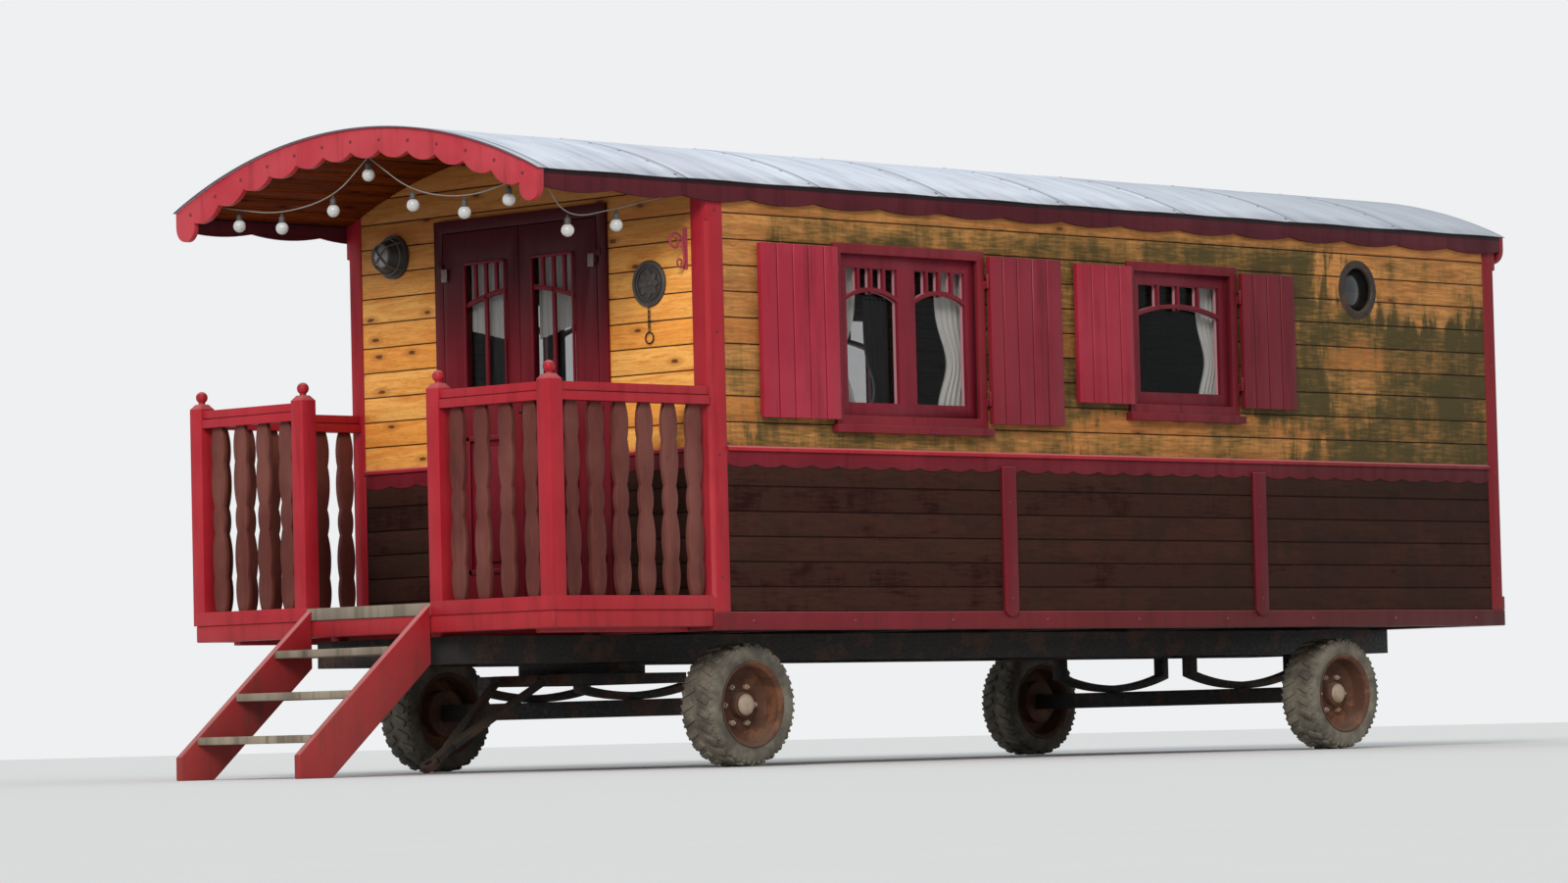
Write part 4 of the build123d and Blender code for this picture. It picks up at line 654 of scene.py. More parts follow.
chassis_black = rusty("chassis_paint", (34, 32, 31), (84, 50, 32), 0.5)
rim_rust = rusty("rusty_wheel", (82, 52, 38), (118, 76, 52), 0.8, gloss=0.6)
hub_grey = rusty("hub_cap", (158, 140, 122), (120, 80, 54), 0.5)
black_iron = rusty("black_iron", (30, 28, 28), (70, 48, 36), 0.25, gloss=0.4, metal=0.4)
bolt_metal = rusty("bolt_heads", (122, 110, 104), (104, 64, 44), 0.5, gloss=0.4, metal=0.5)
painted_bolt = rusty("painted_bolts", (112, 30, 40), (78, 46, 36), 0.5, gloss=0.4)
guard_paint = rusty("lamp_guard_paint", (92, 88, 84), (70, 48, 36), 0.4)
cast_grey = rusty("cast_relief", (92, 88, 84), (60, 46, 40), 0.4, gloss=0.4, metal=0.3)
scroll_iron = rusty("painted_iron", (164, 62, 74), (96, 50, 46), 0.4)
hole_iron = rusty("porthole_frame", (58, 48, 42), (104, 66, 44), 0.5, gloss=0.45, metal=0.3)
print("materials with metals:", len(bpy.data.materials))

# %% [markdown]
# Rubber, glass and small things. The tyres are grey with dust that has dried on the sidewalls.
# Small things get two tones and two roughnesses, mixed by one noise, because nothing is one even
# colour. Window glass is thin, so it is written as a dark, mirror-smooth skin that lets most of
# what lies behind it through; its dark tone is a painted reflection of dark surroundings.

# %% Rubber, glass and small things
def plain(name, tones, scale, detail, roughness, stretch=None, **sockets):
    finish = Finish(name, **sockets)
    pattern = finish.noise(scale, stretch and finish.stretched(stretch), detail=detail)
    finish.colour(finish.mix(pattern, *(shade(*tone) for tone in tones)))
    finish.rough(pattern, *roughness)
    return finish.material


tyre = Finish("dusty_tyre")
grit = tyre.noise(90, detail=5)
dust = tyre.noise(9, detail=6, rough=0.65)
tone = tyre.over(shade(72, 68, 60), shade(116, 108, 94), dust, start=0.34, full=0.70)
tyre.colour(tyre.over(tone, shade(66, 62, 56), grit, start=0.55, full=0.8, share=0.5))
tyre.rough(grit, 0.75, 0.95)
tyre.bump(grit, depth=0.0012, strength=0.5)
tyre_rubber = tyre.material

# painted reflection: the near-black tone stands for dark surroundings mirrored in the glass
pane = plain(
    "window_pane",
    ((6, 10, 9), (18, 24, 22)),
    scale=5,
    detail=5,
    roughness=(0.03, 0.10),
    stretch=(1, 1, 0.4),
    Alpha=0.24,
    Specular_IOR_Level=0.34,
    Coat_Weight=0.06,
    Coat_Roughness=0.03,
)
dark_pane = plain(
    "porthole_pane",
    ((14, 16, 18), (34, 36, 36)),
    scale=9,
    detail=4,
    roughness=(0.05, 0.14),
    Coat_Weight=0.7,
    Coat_Roughness=0.04,
)
lamp_glass = plain(
    "lamp_lens",
    ((126, 124, 120), (150, 148, 142)),
    scale=30,
    detail=2,
    roughness=(0.15, 0.3),
    Coat_Weight=0.5,
    Coat_Roughness=0.1,
)
globe_glass = plain(
    "frosted_bulb",
    ((236, 236, 230), (214, 218, 220)),
    scale=40,
    detail=3,
    roughness=(0.12, 0.3),
    Transmission_Weight=0.35,
    IOR=1.45,
)
socket_black = plain("bulb_socket", ((54, 52, 52), (84, 82, 80)), 80, 3, (0.4, 0.6))
cable_skin = plain("pale_cable", ((150, 146, 138), (110, 106, 100)), 30, 4, (0.45, 0.65))
lamp_body = plain("lamp_housing", ((44, 42, 42), (66, 62, 60)), 50, 4, (0.35, 0.6))
print("materials:", len(bpy.data.materials))

# %% [markdown]
# Every node that the model brings gets its finish first. Where a node is later replaced by a
# more detailed piece, that piece mostly takes the same finish; the porthole frame and the bulbs'
# end cap get their own.

# %% Finishes for the model's own pieces
SAME_FINISH = [
    (chassis_black, "chassis_frame rear_axle front_axle steering_frame drawbar"),
    # the sill's deeper red is partly dirt and partly painted shade under the body
    (deep_red, "sill_frame mid_rails lower_battens"),
    (bright_red, "corner_posts porch_frame porch_posts porch_rails"),
    (board_red, "bargeboards"),
    (valance_red, "eave_valances"),
    (baluster_red, "balusters"),
    (stair_red, "stair_stringers"),
    (door_red, "door_frame door_left door_right"),
    (casing_red, "window_casings"),
    (sash_red, "window_sashes"),
    (floor_boards, "floor"),
    (ceiling_pine, "roof_boards"),
    (grey_boards, "porch_deck stair_treads"),
    (roof_metal, "roof_sheet"),
    (pane, "door_left_glass door_right_glass window_glass"),
    (black_iron, "porthole light_eyes"),
    (lamp_body, "wall_fittings"),
    (cable_skin, "light_cable"),
    (globe_glass, "light_bulbs"),
]
FINISHES = {node: finish for finish, nodes in SAME_FINISH for node in nodes.split()}
for name, node in frame["nodes"].items():
    if name.startswith("tyre"):
        FINISHES[name] = tyre_rubber
    elif name.startswith("rim"):
        FINISHES[name] = rim_rust
    elif name.startswith("shutter"):
        FINISHES[name] = shaded_shutter_red if name.endswith("rear") else crimson
    elif name.startswith("wall_") and name not in FINISHES:
        FINISHES[name] = lining_pine
    for slot in node.material_slots:
        slot.material = FINISHES[name]
print("finished nodes:", len(frame["nodes"]))

# %% [markdown]
# The wagon stands on a plain pale floor, so wide that its edge is never seen.

# %% Floor
FLOOR_HALF = 60
floor_finish = Finish("pale_floor", Roughness=0.9)
specks = floor_finish.noise(3, detail=2)
floor_finish.colour(floor_finish.mix(specks, (0.80, 0.80, 0.79, 1), (0.83, 0.83, 0.82, 1)))
floor_mesh = bpy.data.meshes.new("ground")
ways = ((-1, -1), (1, -1), (1, 1), (-1, 1))
floor_corners = [(x * FLOOR_HALF, y * FLOOR_HALF, 0) for x, y in ways]
floor_mesh.from_pydata(floor_corners, [], [(0, 1, 2, 3)])
floor_mesh.materials.append(floor_finish.material)
ground = bpy.data.objects.new("ground", floor_mesh)
bpy.context.scene.collection.objects.link(ground)
print("floor", 2 * FLOOR_HALF, "m wide")

# %% [markdown]
# A plain pale sky and one soft sun. The sky alone would light everything evenly; the sun gives
# ledges and scallops their shadows. What the camera sees as background is one even colour, which
# clear glass shows too, so the sky's own colour only lights the wagon.

# %% Sky and sun
SKY_LIGHT, SKY_COLOUR = 0.62, (0.92, 0.96, 1.0, 1)
BACKGROUND = (0.86, 0.87, 0.88, 1)
SUN_LIGHT, SUN_COLOUR, SUN_SPREAD = 2.0, (1.0, 0.97, 0.92), 20
SUN_PLACE = Vector((-0.82, -0.60, 0.52))
world = bpy.data.worlds.new("plain_sky")
bpy.context.scene.world = world
world.use_nodes = True
sky = world.node_tree
sky.nodes.clear()
either = sky.nodes.new("ShaderNodeMixShader")
for place, colour, strength in ((1, SKY_COLOUR, SKY_LIGHT), (2, BACKGROUND, 1.0)):
    background = sky.nodes.new("ShaderNodeBackground")
    background.inputs["Color"].default_value = colour
    background.inputs["Strength"].default_value = strength
    sky.links.new(background.outputs[0], either.inputs[place])
path = sky.nodes.new("ShaderNodeLightPath")
seen_by = sky.nodes.new("ShaderNodeMath")
seen_by.operation = "MAXIMUM"
sky.links.new(path.outputs["Is Camera Ray"], seen_by.inputs[0])
sky.links.new(path.outputs["Is Transmission Ray"], seen_by.inputs[1])
sky.links.new(seen_by.outputs[0], either.inputs[0])
sky.links.new(either.outputs[0], sky.nodes.new("ShaderNodeOutputWorld").inputs[0])

sun_data = bpy.data.lights.new("soft_sun", "SUN")
sun_data.energy = SUN_LIGHT
sun_data.angle = radians(SUN_SPREAD)
sun_data.color = SUN_COLOUR
sun = bpy.data.objects.new("soft_sun", sun_data)
sun.matrix_world = SUN_PLACE.to_track_quat("Z", "Y").to_matrix().to_4x4()
bpy.context.scene.collection.objects.link(sun)
bpy.context.scene.view_settings.view_transform = "Standard"
print("sun", SUN_LIGHT, "sky", SKY_LIGHT)

# %% [markdown]
# The string of bulbs hangs on one pale cable, from screw eyes under the porch roof, and goes
# into the front wall. It is a soft thing, so it is one smooth NURBS line along the same listed
# points as in the model. Where it hangs in an eye it turns sharply, and a point on each side,
# about six diameters away, holds the runs straight there.

# %% Cable
CABLE_POINTS = [
    (-14, -1160, 2632),
    (-110, -1160, 2618),
    (-479, -1160, 2532),
    (-790, -1160, 2470),
    (-912, -1148, 2650),
    (-940, -1112, 2690),
    (-947, -958, 2640),
    (-947, -660, 2599),
    (-947, -306, 2657),
    (-947, -39, 2823),
    (-947, -8, 2842),
    (-947, 22, 2822),
    (-947, 238, 2676),
    (-947, 612, 2629),
    (-947, 921, 2672),
    (-947, 1055, 2699),
    (-947, 1090, 2706),
    (-947, 1128, 2690),
]
CABLE_D = 0.006
MM_PER_M = 1000
line = bpy.data.curves.new("cable_of_lights", "CURVE")
line.dimensions = "3D"
run = line.splines.new("NURBS")
run.points.add(len(CABLE_POINTS) - 1)
for point, (x, y, z) in zip(run.points, CABLE_POINTS):
    point.co = (FRONT + x / MM_PER_M, y / MM_PER_M, z / MM_PER_M, 1)
run.order_u = 3
run.use_endpoint_u = True
line.bevel_depth = CABLE_D / 2
line.bevel_resolution = 3
line.resolution_u = 12
line.use_fill_caps = True
line.materials.append(cable_skin)
cable = bpy.data.objects.new("cable_of_lights", line)
bpy.context.scene.collection.objects.link(cable)
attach(cable, "wagon")
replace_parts(cable, "light_cable")
print("cable of", len(CABLE_POINTS), "points")

# %% [markdown]
# Most pieces below are an outline pushed along an axis, a block, or a profile turned about an
# axis. Each could be built by hand in edit mode; written as a list of points, it is exactly as
# large as its numbers say and can be read again later. These helpers make plain meshes.

# %% Shapes from outlines
AXES = {"X": (1, 2, 0), "Y": (0, 2, 1), "Z": (0, 1, 2)}
ON_AXIS = 1e-6


def outward(mesh):
    """Closes a mesh where its corners meet and turns every face outwards."""
    bm = bmesh.new()
    bm.from_mesh(mesh)
    bmesh.ops.remove_doubles(bm, verts=bm.verts, dist=1e-6)
    bmesh.ops.recalc_face_normals(bm, faces=bm.faces)
    bm.to_mesh(mesh)
    bm.free()
    return mesh


def new_mesh(name, corners, faces):
    mesh = bpy.data.meshes.new(name)
    mesh.from_pydata(corners, [], faces)
    return outward(mesh)


def prism(outline, start, end, axis="X"):
    """A closed outline, given in the two other axes, pushed along an axis."""
    first, second, along = AXES[axis]
    corners = []
    for distance in (start, end):
        for a, b in outline:
            corner = [0, 0, 0]
            corner[first], corner[second], corner[along] = a, b, distance
            corners.append(corner)
    count = len(outline)
    faces = [tuple(range(count)), tuple(range(count, 2 * count))]
    faces += [(i, (i + 1) % count, count + (i + 1) % count, count + i) for i in range(count)]
    return new_mesh("prism", corners, faces)


def slab(x, y, z):
    """A block between two values on each axis."""
    return prism([(y[0], z[0]), (y[1], z[0]), (y[1], z[1]), (y[0], z[1])], x[0], x[1])


def circle(radius, count):
    """Points round a circle, as pairs."""
    angles = (2 * pi * step / count for step in range(count))
    return [(radius * cos(angle), radius * sin(angle)) for angle in angles]


def turned(profile, centre=(0, 0, 0), axis=(0, 0, 1), sides=32):
    """A profile of (radius, height) turned about an axis through a centre."""
    corners, rings = [], []
    for radius, height in profile:
        if radius < ON_AXIS:
            rings.append([len(corners)] * sides)
            corners.append((0, 0, height))
        else:
            rings.append(list(range(len(corners), len(corners) + sides)))
            corners += [(x, y, height) for x, y in circle(radius, sides)]
    faces = []
    for low, high in zip(rings, rings[1:]):
        for i in range(sides):
            face = [low[i], low[(i + 1) % sides], high[(i + 1) % sides], high[i]]
            face = list(dict.fromkeys(face))
            if len(face) > 2:
                faces.append(face)
    mesh = bpy.data.meshes.new("turned")
    mesh.from_pydata(corners, [], faces)
    upright = Vector(axis).to_track_quat("Z", "Y").to_matrix().to_4x4()
    mesh.transform(Matrix.Translation(centre) @ upright)
    mesh.shade_smooth()
    return outward(mesh)


def joined(meshes):
    """Several meshes as one, without materials."""
    bm = bmesh.new()
    for mesh in meshes:
        bm.from_mesh(mesh)
    whole = bpy.data.meshes.new("joined")
    bm.to_mesh(whole)
    bm.free()
    return whole


print("a block has", len(slab((0, 1), (0, 1), (0, 1)).polygons), "faces")

# %% [markdown]
# Real timber has no sharp edges, and the rounded edge is what catches the light. Blender's own
# modifiers round edges and cut one shape out of another. Each is applied at once, by asking for
# the shape with its modifiers on, so that nothing live is left. `piece` then gives a mesh its
# name, finish, body and slot, and `dressed` is a model piece with rounded edges that stands for
# the plain one; it is held inside the plain one's box, because rounding can overshoot a little.

# %% Cutting, rounding and naming
BEVEL_ABOVE = radians(32)
SMOOTH_BELOW = 50
made = []


def helper(mesh, name="helper"):
    thing = bpy.data.objects.new(name, mesh)
    bpy.context.scene.collection.objects.link(thing)
    return thing


def evaluated(thing):
    """The shape with its modifiers applied, as a plain mesh; the helper object goes."""
    graph = bpy.context.evaluated_depsgraph_get()
    mesh = bpy.data.meshes.new_from_object(thing.evaluated_get(graph), depsgraph=graph)
    bpy.data.objects.remove(thing)
    return mesh


def rod(points, radius, cyclic=False, sides=3):
    """A round bar bent smoothly through points."""
    bar = bpy.data.curves.new("rod", "CURVE")
    bar.dimensions = "3D"
    spline = bar.splines.new("POLY")
    spline.points.add(len(points) - 1)
    for control, point in zip(spline.points, points):
        control.co = (*point, 1)
    spline.use_cyclic_u = cyclic
    spline.use_smooth = True
    bar.bevel_depth = radius
    bar.bevel_resolution = sides
    bar.use_fill_caps = True
    return evaluated(helper(bar, "rod"))


def rounded(thing, width):
    bevel = thing.modifiers.new("rounded_edges", "BEVEL")
    bevel.width = width
    bevel.segments = 2
    bevel.limit_method = "ANGLE"
    bevel.angle_limit = BEVEL_ABOVE
    bevel.use_clamp_overlap = True


def worked(mesh, tool=None, operation="DIFFERENCE", edge=0.0):
    """A mesh with another cut out of it, or only what both share, and then rounded."""
    thing = helper(mesh)
    if tool is not None:
        tool = helper(tool)
        boolean = thing.modifiers.new("cut", "BOOLEAN")
        boolean.operation = operation
        boolean.solver = "EXACT"
        boolean.object = tool
    if edge:
        rounded(thing, edge)
    result = evaluated(thing)
    if tool is not None:
        bpy.data.objects.remove(tool)
    return result


def smooth_by_angle(mesh, angle=SMOOTH_BELOW):
    mesh.shade_smooth()
    bm = bmesh.new()
    bm.from_mesh(mesh)
    for edge in bm.edges:
        edge.smooth = len(edge.link_faces) == 2 and edge.calc_face_angle(0) < radians(angle)
    bm.to_mesh(mesh)
    bm.free()
    return mesh


def piece(name, mesh, finish, body="wagon", edge=0.0):
    """Names a mesh, rounds it if asked, and gives it its finish, body and slot."""
    if edge:
        mesh = smooth_by_angle(worked(mesh, edge=edge))
        mesh.materials.clear()
    if not mesh.materials:
        mesh.materials.append(finish)
    mesh.name = name
    thing = helper(mesh, name)
    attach(thing, body)
    made.append(name)
    return thing


def model_copy(node):
    """A model piece's mesh as one clean shell, ready to be cut or rounded."""
    mesh = frame["nodes"][node].data.copy()
    mesh.materials.clear()
    bm = bmesh.new()
    bm.from_mesh(mesh)
    bmesh.ops.remove_doubles(bm, verts=bm.verts, dist=1e-5)
    flat = {"angle_limit": radians(0.5), "use_dissolve_boundaries": False}
    bmesh.ops.dissolve_limit(bm, verts=bm.verts, edges=bm.edges, **flat)
    bm.to_mesh(mesh)
    bm.free()
    if "custom_normal" in mesh.attributes:
        mesh.attributes.remove(mesh.attributes["custom_normal"])
    return mesh


def dressed(node, edge=0.003, cuts=()):
    """A model piece with cuts and rounded edges, standing for the plain one."""
    mesh = worked(model_copy(node), joined(cuts) if cuts else None, edge=edge)
    low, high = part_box(node)
    for corner in mesh.vertices:
        corner.co = [min(max(c, a), b) for c, a, b in zip(corner.co, low, high)]
    mesh.materials.clear()
    body = frame["nodes"][node]["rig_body"]
    mesh = smooth_by_angle(mesh)
    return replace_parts(piece(f"{node}_dressed", mesh, FINISHES[node], body), node)


print("corners of the plain sill:", len(model_copy("sill_frame").vertices))

# %% [markdown]
# Things that repeat are grown by Geometry Nodes: a row of bars, a ring of bars or nuts, a row of
# round heads, and strips along an arch. They could be copied in a loop, but a tree keeps each
# repeat as one recipe with named sizes. The result is turned into a plain mesh at once. A tree
# is written here as a material is, with one method for each kind of node.

# %% Writing a tree
KINDS = {int: "NodeSocketInt", float: "NodeSocketFloat"}


class Tree:
    """A tree as it is written: its inputs by name, and methods that add nodes."""

    def __init__(self, name, **inputs):
        self.group = bpy.data.node_groups.new(name, "GeometryNodeTree")
        new_socket = self.group.interface.new_socket
        for label, value in inputs.items():
            label = label.replace("_", " ")
            socket = new_socket(label, in_out="INPUT", socket_type=KINDS[type(value)])
            socket.default_value = value
        new_socket("Finish", in_out="INPUT", socket_type="NodeSocketMaterial")
        new_socket("Geometry", in_out="OUTPUT", socket_type="NodeSocketGeometry")
        self.given = self.group.nodes.new("NodeGroupInput").outputs

    def add(self, kind, links, **settings):
        """Adds a node, sets what is given by name, and joins sockets by place or name."""
        node = self.group.nodes.new(kind)
        for label, value in settings.items():
            setattr(node, label, value)
        for place, value in links.items():
            if isinstance(value, bpy.types.NodeSocket):
                self.group.links.new(value, node.inputs[place])
            else:
                node.inputs[place].default_value = value
        return node.outputs

    def maths(self, operation, first, second):
        return self.add("ShaderNodeMath", {0: first, 1: second}, operation=operation)[0]

    def vector(self, x=0.0, y=0.0, z=0.0):
        return self.add("ShaderNodeCombineXYZ", {0: x, 1: y, 2: z})[0]

    def line(self, count, step):
        return self.add("GeometryNodeMeshLine", {"Count": count, "Offset": step})[0]

    def circle(self, count, radius):
        return self.add("GeometryNodeMeshCircle", {"Vertices": count, "Radius": radius})[0]

    def block(self, x, y, z):
        return self.add("GeometryNodeMeshCube", {"Size": self.vector(x, y, z)})[0]

    def close(self, points, shape, **turn):
        """Puts the shape on every point, makes it real, paints it and ends the tree."""
        links = {"Points": points, "Instance": shape, **turn}
        copies = self.add("GeometryNodeInstanceOnPoints", links)[0]
        real = self.add("GeometryNodeRealizeInstances", {0: copies})[0]
        links = {"Geometry": real, "Material": self.given["Finish"]}
        painted = self.add("GeometryNodeSetMaterial", links)[0]
        self.group.links.new(painted, self.group.nodes.new("NodeGroupOutput").inputs[0])


def grown(tree, finish, edge=0.0, place=None, tool=None, operation="DIFFERENCE", **sizes):
    """What a tree makes with these sizes, as a plain mesh in its place."""
    thing = helper(bpy.data.meshes.new("seedling"))
    live = thing.modifiers.new("tree", "NODES")
    live.node_group = tree.group
    sizes["Finish"] = finish
    for item in tree.group.interface.items_tree:
        label = item.name.replace(" ", "_")
        if item.in_out == "INPUT" and label in sizes:
            live[item.identifier] = sizes[label]
    if edge:
        rounded(thing, edge)
    mesh = evaluated(thing)
    if place:
        mesh.transform(place)
    if tool is not None:
        mesh = worked(mesh, tool, operation)
    return smooth_by_angle(mesh)


print("kinds of input:", list(KINDS.values()))

# %% [markdown]
# Five trees. The row of bars makes boards, each moved in or out by a hair so that light breaks
# differently on it. The ring of bars makes tyre lugs, the ring of nuts makes nuts, bolt ends and
# screws, the row of studs makes round heads, and the arch carries nails and ceiling boards.

# %% Trees that repeat a shape
BAR_SEED = 5
HEAD_SIDES, HEAD_TAPER = 12, 0.55

row_tree = Tree(
    "row_of_bars", Bars=10, Pitch=0.12, Length=1.0, Thickness=0.01, Width=0.1, Uneven=0.0
)
given = row_tree.given
points = row_tree.line(given["Bars"], row_tree.vector(z=given["Pitch"]))
inwards = row_tree.maths("MULTIPLY", given["Uneven"], -1.0)
limits = {2: inwards, 3: given["Uneven"], 8: BAR_SEED}
jitter = row_tree.add("FunctionNodeRandomValue", limits, data_type="FLOAT")[1]
links = {"Geometry": points, "Offset": row_tree.vector(y=jitter)}
moved = row_tree.add("GeometryNodeSetPosition", links)[0]
row_tree.close(moved, row_tree.block(given["Length"], given["Thickness"], given["Width"]))

ring_tree = Tree(
    "ring_of_bars", Bars=24, Radius=0.28, Depth=0.016, Width=0.045, Length=0.06, Slant=0.0
)
given = ring_tree.given
whole_turn = ring_tree.maths("DIVIDE", 2 * pi, given["Bars"])
place = ring_tree.add("GeometryNodeInputIndex", {})[0]
facing = ring_tree.vector(x=given["Slant"], z=ring_tree.maths("MULTIPLY", place, whole_turn))
lug = ring_tree.block(given["Depth"], given["Width"], given["Length"])
ring_tree.close(ring_tree.circle(given["Bars"], given["Radius"]), lug, Rotation=facing)

nut_tree = Tree("ring_of_nuts", Nuts=6, Radius=0.09, Nut_radius=0.012, Height=0.014, Corners=6)
given = nut_tree.given
links = {"Vertices": given["Corners"], "Radius": given["Nut radius"], "Depth": given["Height"]}
nut = nut_tree.add("GeometryNodeMeshCylinder", links)[0]
nut_tree.close(nut_tree.circle(given["Nuts"], given["Radius"]), nut)

stud_tree = Tree("row_of_studs", Studs=4, Pitch=0.3, Radius=0.006, Height=0.003)
given = stud_tree.given
points = stud_tree.line(given["Studs"], stud_tree.vector(x=given["Pitch"]))
crown = stud_tree.maths("MULTIPLY", given["Radius"], HEAD_TAPER)
links = {"Vertices": HEAD_SIDES, "Radius Top": crown, "Radius Bottom": given["Radius"]}
links["Depth"] = given["Height"]
stud_tree.close(points, stud_tree.add("GeometryNodeMeshCone", links)[0])

arch_tree = Tree(
    "along_an_arch", Count=12, Radius=2.9, Half_angle=0.4, Length=0.02, Width=0.02, Depth=0.01
)
given = arch_tree.given
links = {"Resolution": given["Count"], "Radius": given["Radius"]}
links["Start Angle"] = arch_tree.maths("SUBTRACT", pi / 2, given["Half angle"])
links["Sweep Angle"] = arch_tree.maths("MULTIPLY", given["Half angle"], 2.0)
curve = arch_tree.add("GeometryNodeCurveArc", links, mode="RADIUS")[0]
spread = arch_tree.add("GeometryNodeCurveToPoints", {"Curve": curve}, mode="EVALUATED")
lean = arch_tree.add("FunctionNodeAlignRotationToVector", {"Vector": spread[1]}, axis="X")[0]
strip = arch_tree.block(given["Width"], given["Depth"], given["Length"])
arch_tree.close(spread[0], strip, Rotation=lean)
print("trees:", [tree.name for tree in bpy.data.node_groups])

# %% [markdown]
# The cladding. Each wall gets a row of planed boards, a few millimetres proud, with a dark gap
# between them where the tongue sits back. Windows, the door, the porthole and the arch of the
# roof are cut out of the finished row in one go, which is how a joiner would trim it too.

# %% Rows of boards
BOARD_T, BOARD_GAP, BOARD_EDGE = 0.008, 0.004, 0.0025
UNEVEN = 0.0006
TRIM = 0.001
SIDE_ROWS, GABLE_ROWS = 10, 13
QUARTER = Matrix.Rotation(pi / 2, 4, "Z")
UPPER = (UPPER_Z, BOARD_PITCH)
LOWER = (SILL_TOP, LOWER_PITCH, LOWER_ROWS)


def clad(part, finish, low_z, pitch, count, tool=None, operation="DIFFERENCE"):
    """Boards on one wall; a tool is cut out of them, or they are kept only inside it."""
    wall = f"wall_{part}"
    low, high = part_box(wall)
    side_wall = high.x - low.x > high.y - low.y
    near_face, far_face = (low.y, high.y) if side_wall else (low.x, high.x)
    out = -1 if near_face < 0 else 1
    middle = (near_face if out < 0 else far_face) + out * BOARD_T / 2
    first_z = low_z + pitch / 2
    if side_wall:
        place = Matrix.Translation(((low.x + high.x) / 2, middle, first_z))
    else:
        place = Matrix.Translation((middle, 0, first_z)) @ QUARTER
    mesh = grown(
        row_tree,
        finish,
        edge=BOARD_EDGE,
        place=place,
        tool=tool,
        operation=operation,
        Bars=count,
        Pitch=pitch,
        Length=(high.x - low.x if side_wall else high.y - low.y) - 2 * TRIM,
        Thickness=BOARD_T,
        Width=pitch - BOARD_GAP,
        Uneven=UNEVEN,
    )
    return piece(f"cladding_{part}", mesh, finish, "wagon")


print("boards", BOARD_T, "m thick, with gaps of", BOARD_GAP)

# %% [markdown]
# The openings. They are measured from the model's own windows and door, and are a little smaller
# than the casings, which hide the cut ends of the boards. A gable's boards are kept only where
# they lie under the arch of the roof.

# %% Openings and cladding
WINDOWS = [
    {"x": FRONT + 1.333, "half": 0.515, "low": UPPER_Z + 0.122, "high": UPPER_Z + 0.972},
    {"x": FRONT + 3.300, "half": 0.412, "low": UPPER_Z + 0.223, "high": UPPER_Z + 0.972},
]
HOLE_X, HOLE_Z, HOLE_R = FRONT + 4.689, UPPER_Z + 0.898, 0.125
DOOR_HALF, DOOR_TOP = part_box("door_frame")[1].yz
INSET = 0.012
CUT_IN, CUT_OUT = 0.02, 0.05
ARCH_DEGREES, ARCH_FOOT = 28, [(1.6, 0.5), (-1.6, 0.5)]


def between_sides(out, first, second):
    """Two distances from the middle of the wagon as Y values of one side, lowest first."""
    return sorted((out * first, out * second))


for side, out in SIDES.items():
    holes = []
    for window in WINDOWS:
        half = window["half"] - INSET
        x = (window["x"] - half, window["x"] + half)
        y = between_sides(out, WALL_OUT - CUT_IN, WALL_OUT + CUT_OUT)
        holes.append(slab(x, y, (window["low"] + INSET, window["high"] - INSET)))
    if side == "left":
        bore = HOLE_R + 0.01
        drill = [(0, -CUT_OUT), (bore, -CUT_OUT), (bore, CUT_OUT), (0, CUT_OUT)]
        holes.append(turned(drill, (HOLE_X, out * WALL_OUT, HOLE_Z), (0, 1, 0), 48))
    clad(f"{side}_upper", side_pine, *UPPER, SIDE_ROWS, joined(holes))
    clad(f"{side}_lower", dark_boards, *LOWER)

under_roof = []
for degrees in range(-ARCH_DEGREES, ARCH_DEGREES + 1):
    angle = radians(degrees)
    arch_z = ROOF_CZ + (UNDER_ROOF_R - 0.0015) * cos(angle)
    under_roof.append((UNDER_ROOF_R * sin(angle) * 0.9995, arch_z))
for end, face, finish in (("front", FRONT_FACE, front_pine), ("rear", REAR_FACE, side_pine)):
    low, high = face - CUT_OUT, face + CUT_OUT
    past = (low - 0.01, high + 0.01)
    if end == "front":
        hole = slab(past, (-DOOR_HALF, DOOR_HALF), (0, DOOR_TOP))
        doorway = slab((low, high), (-DOOR_HALF, DOOR_HALF), (0, UPPER_Z))
    else:
        window = WINDOWS[1]
        half = window["half"] - INSET
        hole = slab(past, (-half, half), (window["low"] + INSET, window["high"] - INSET))
        doorway = None
    kept = worked(prism(under_roof + ARCH_FOOT, low, high), hole)
    clad(f"{end}_upper", finish, *UPPER, GABLE_ROWS, kept, "INTERSECT")
    clad(f"{end}_lower", dark_boards, *LOWER, doorway)
print("clad:", made)

# %% [markdown]
# Timber that shows gets rounded edges. The model's pieces are copied, cleaned of their loose
# triangles and bevelled; the copy then stands for the plain piece. The corner posts also get the
# stopped chamfer that wagon builders cut, so that each reads as three bands of red, and the
# porch rail gets a thin groove under its cap.

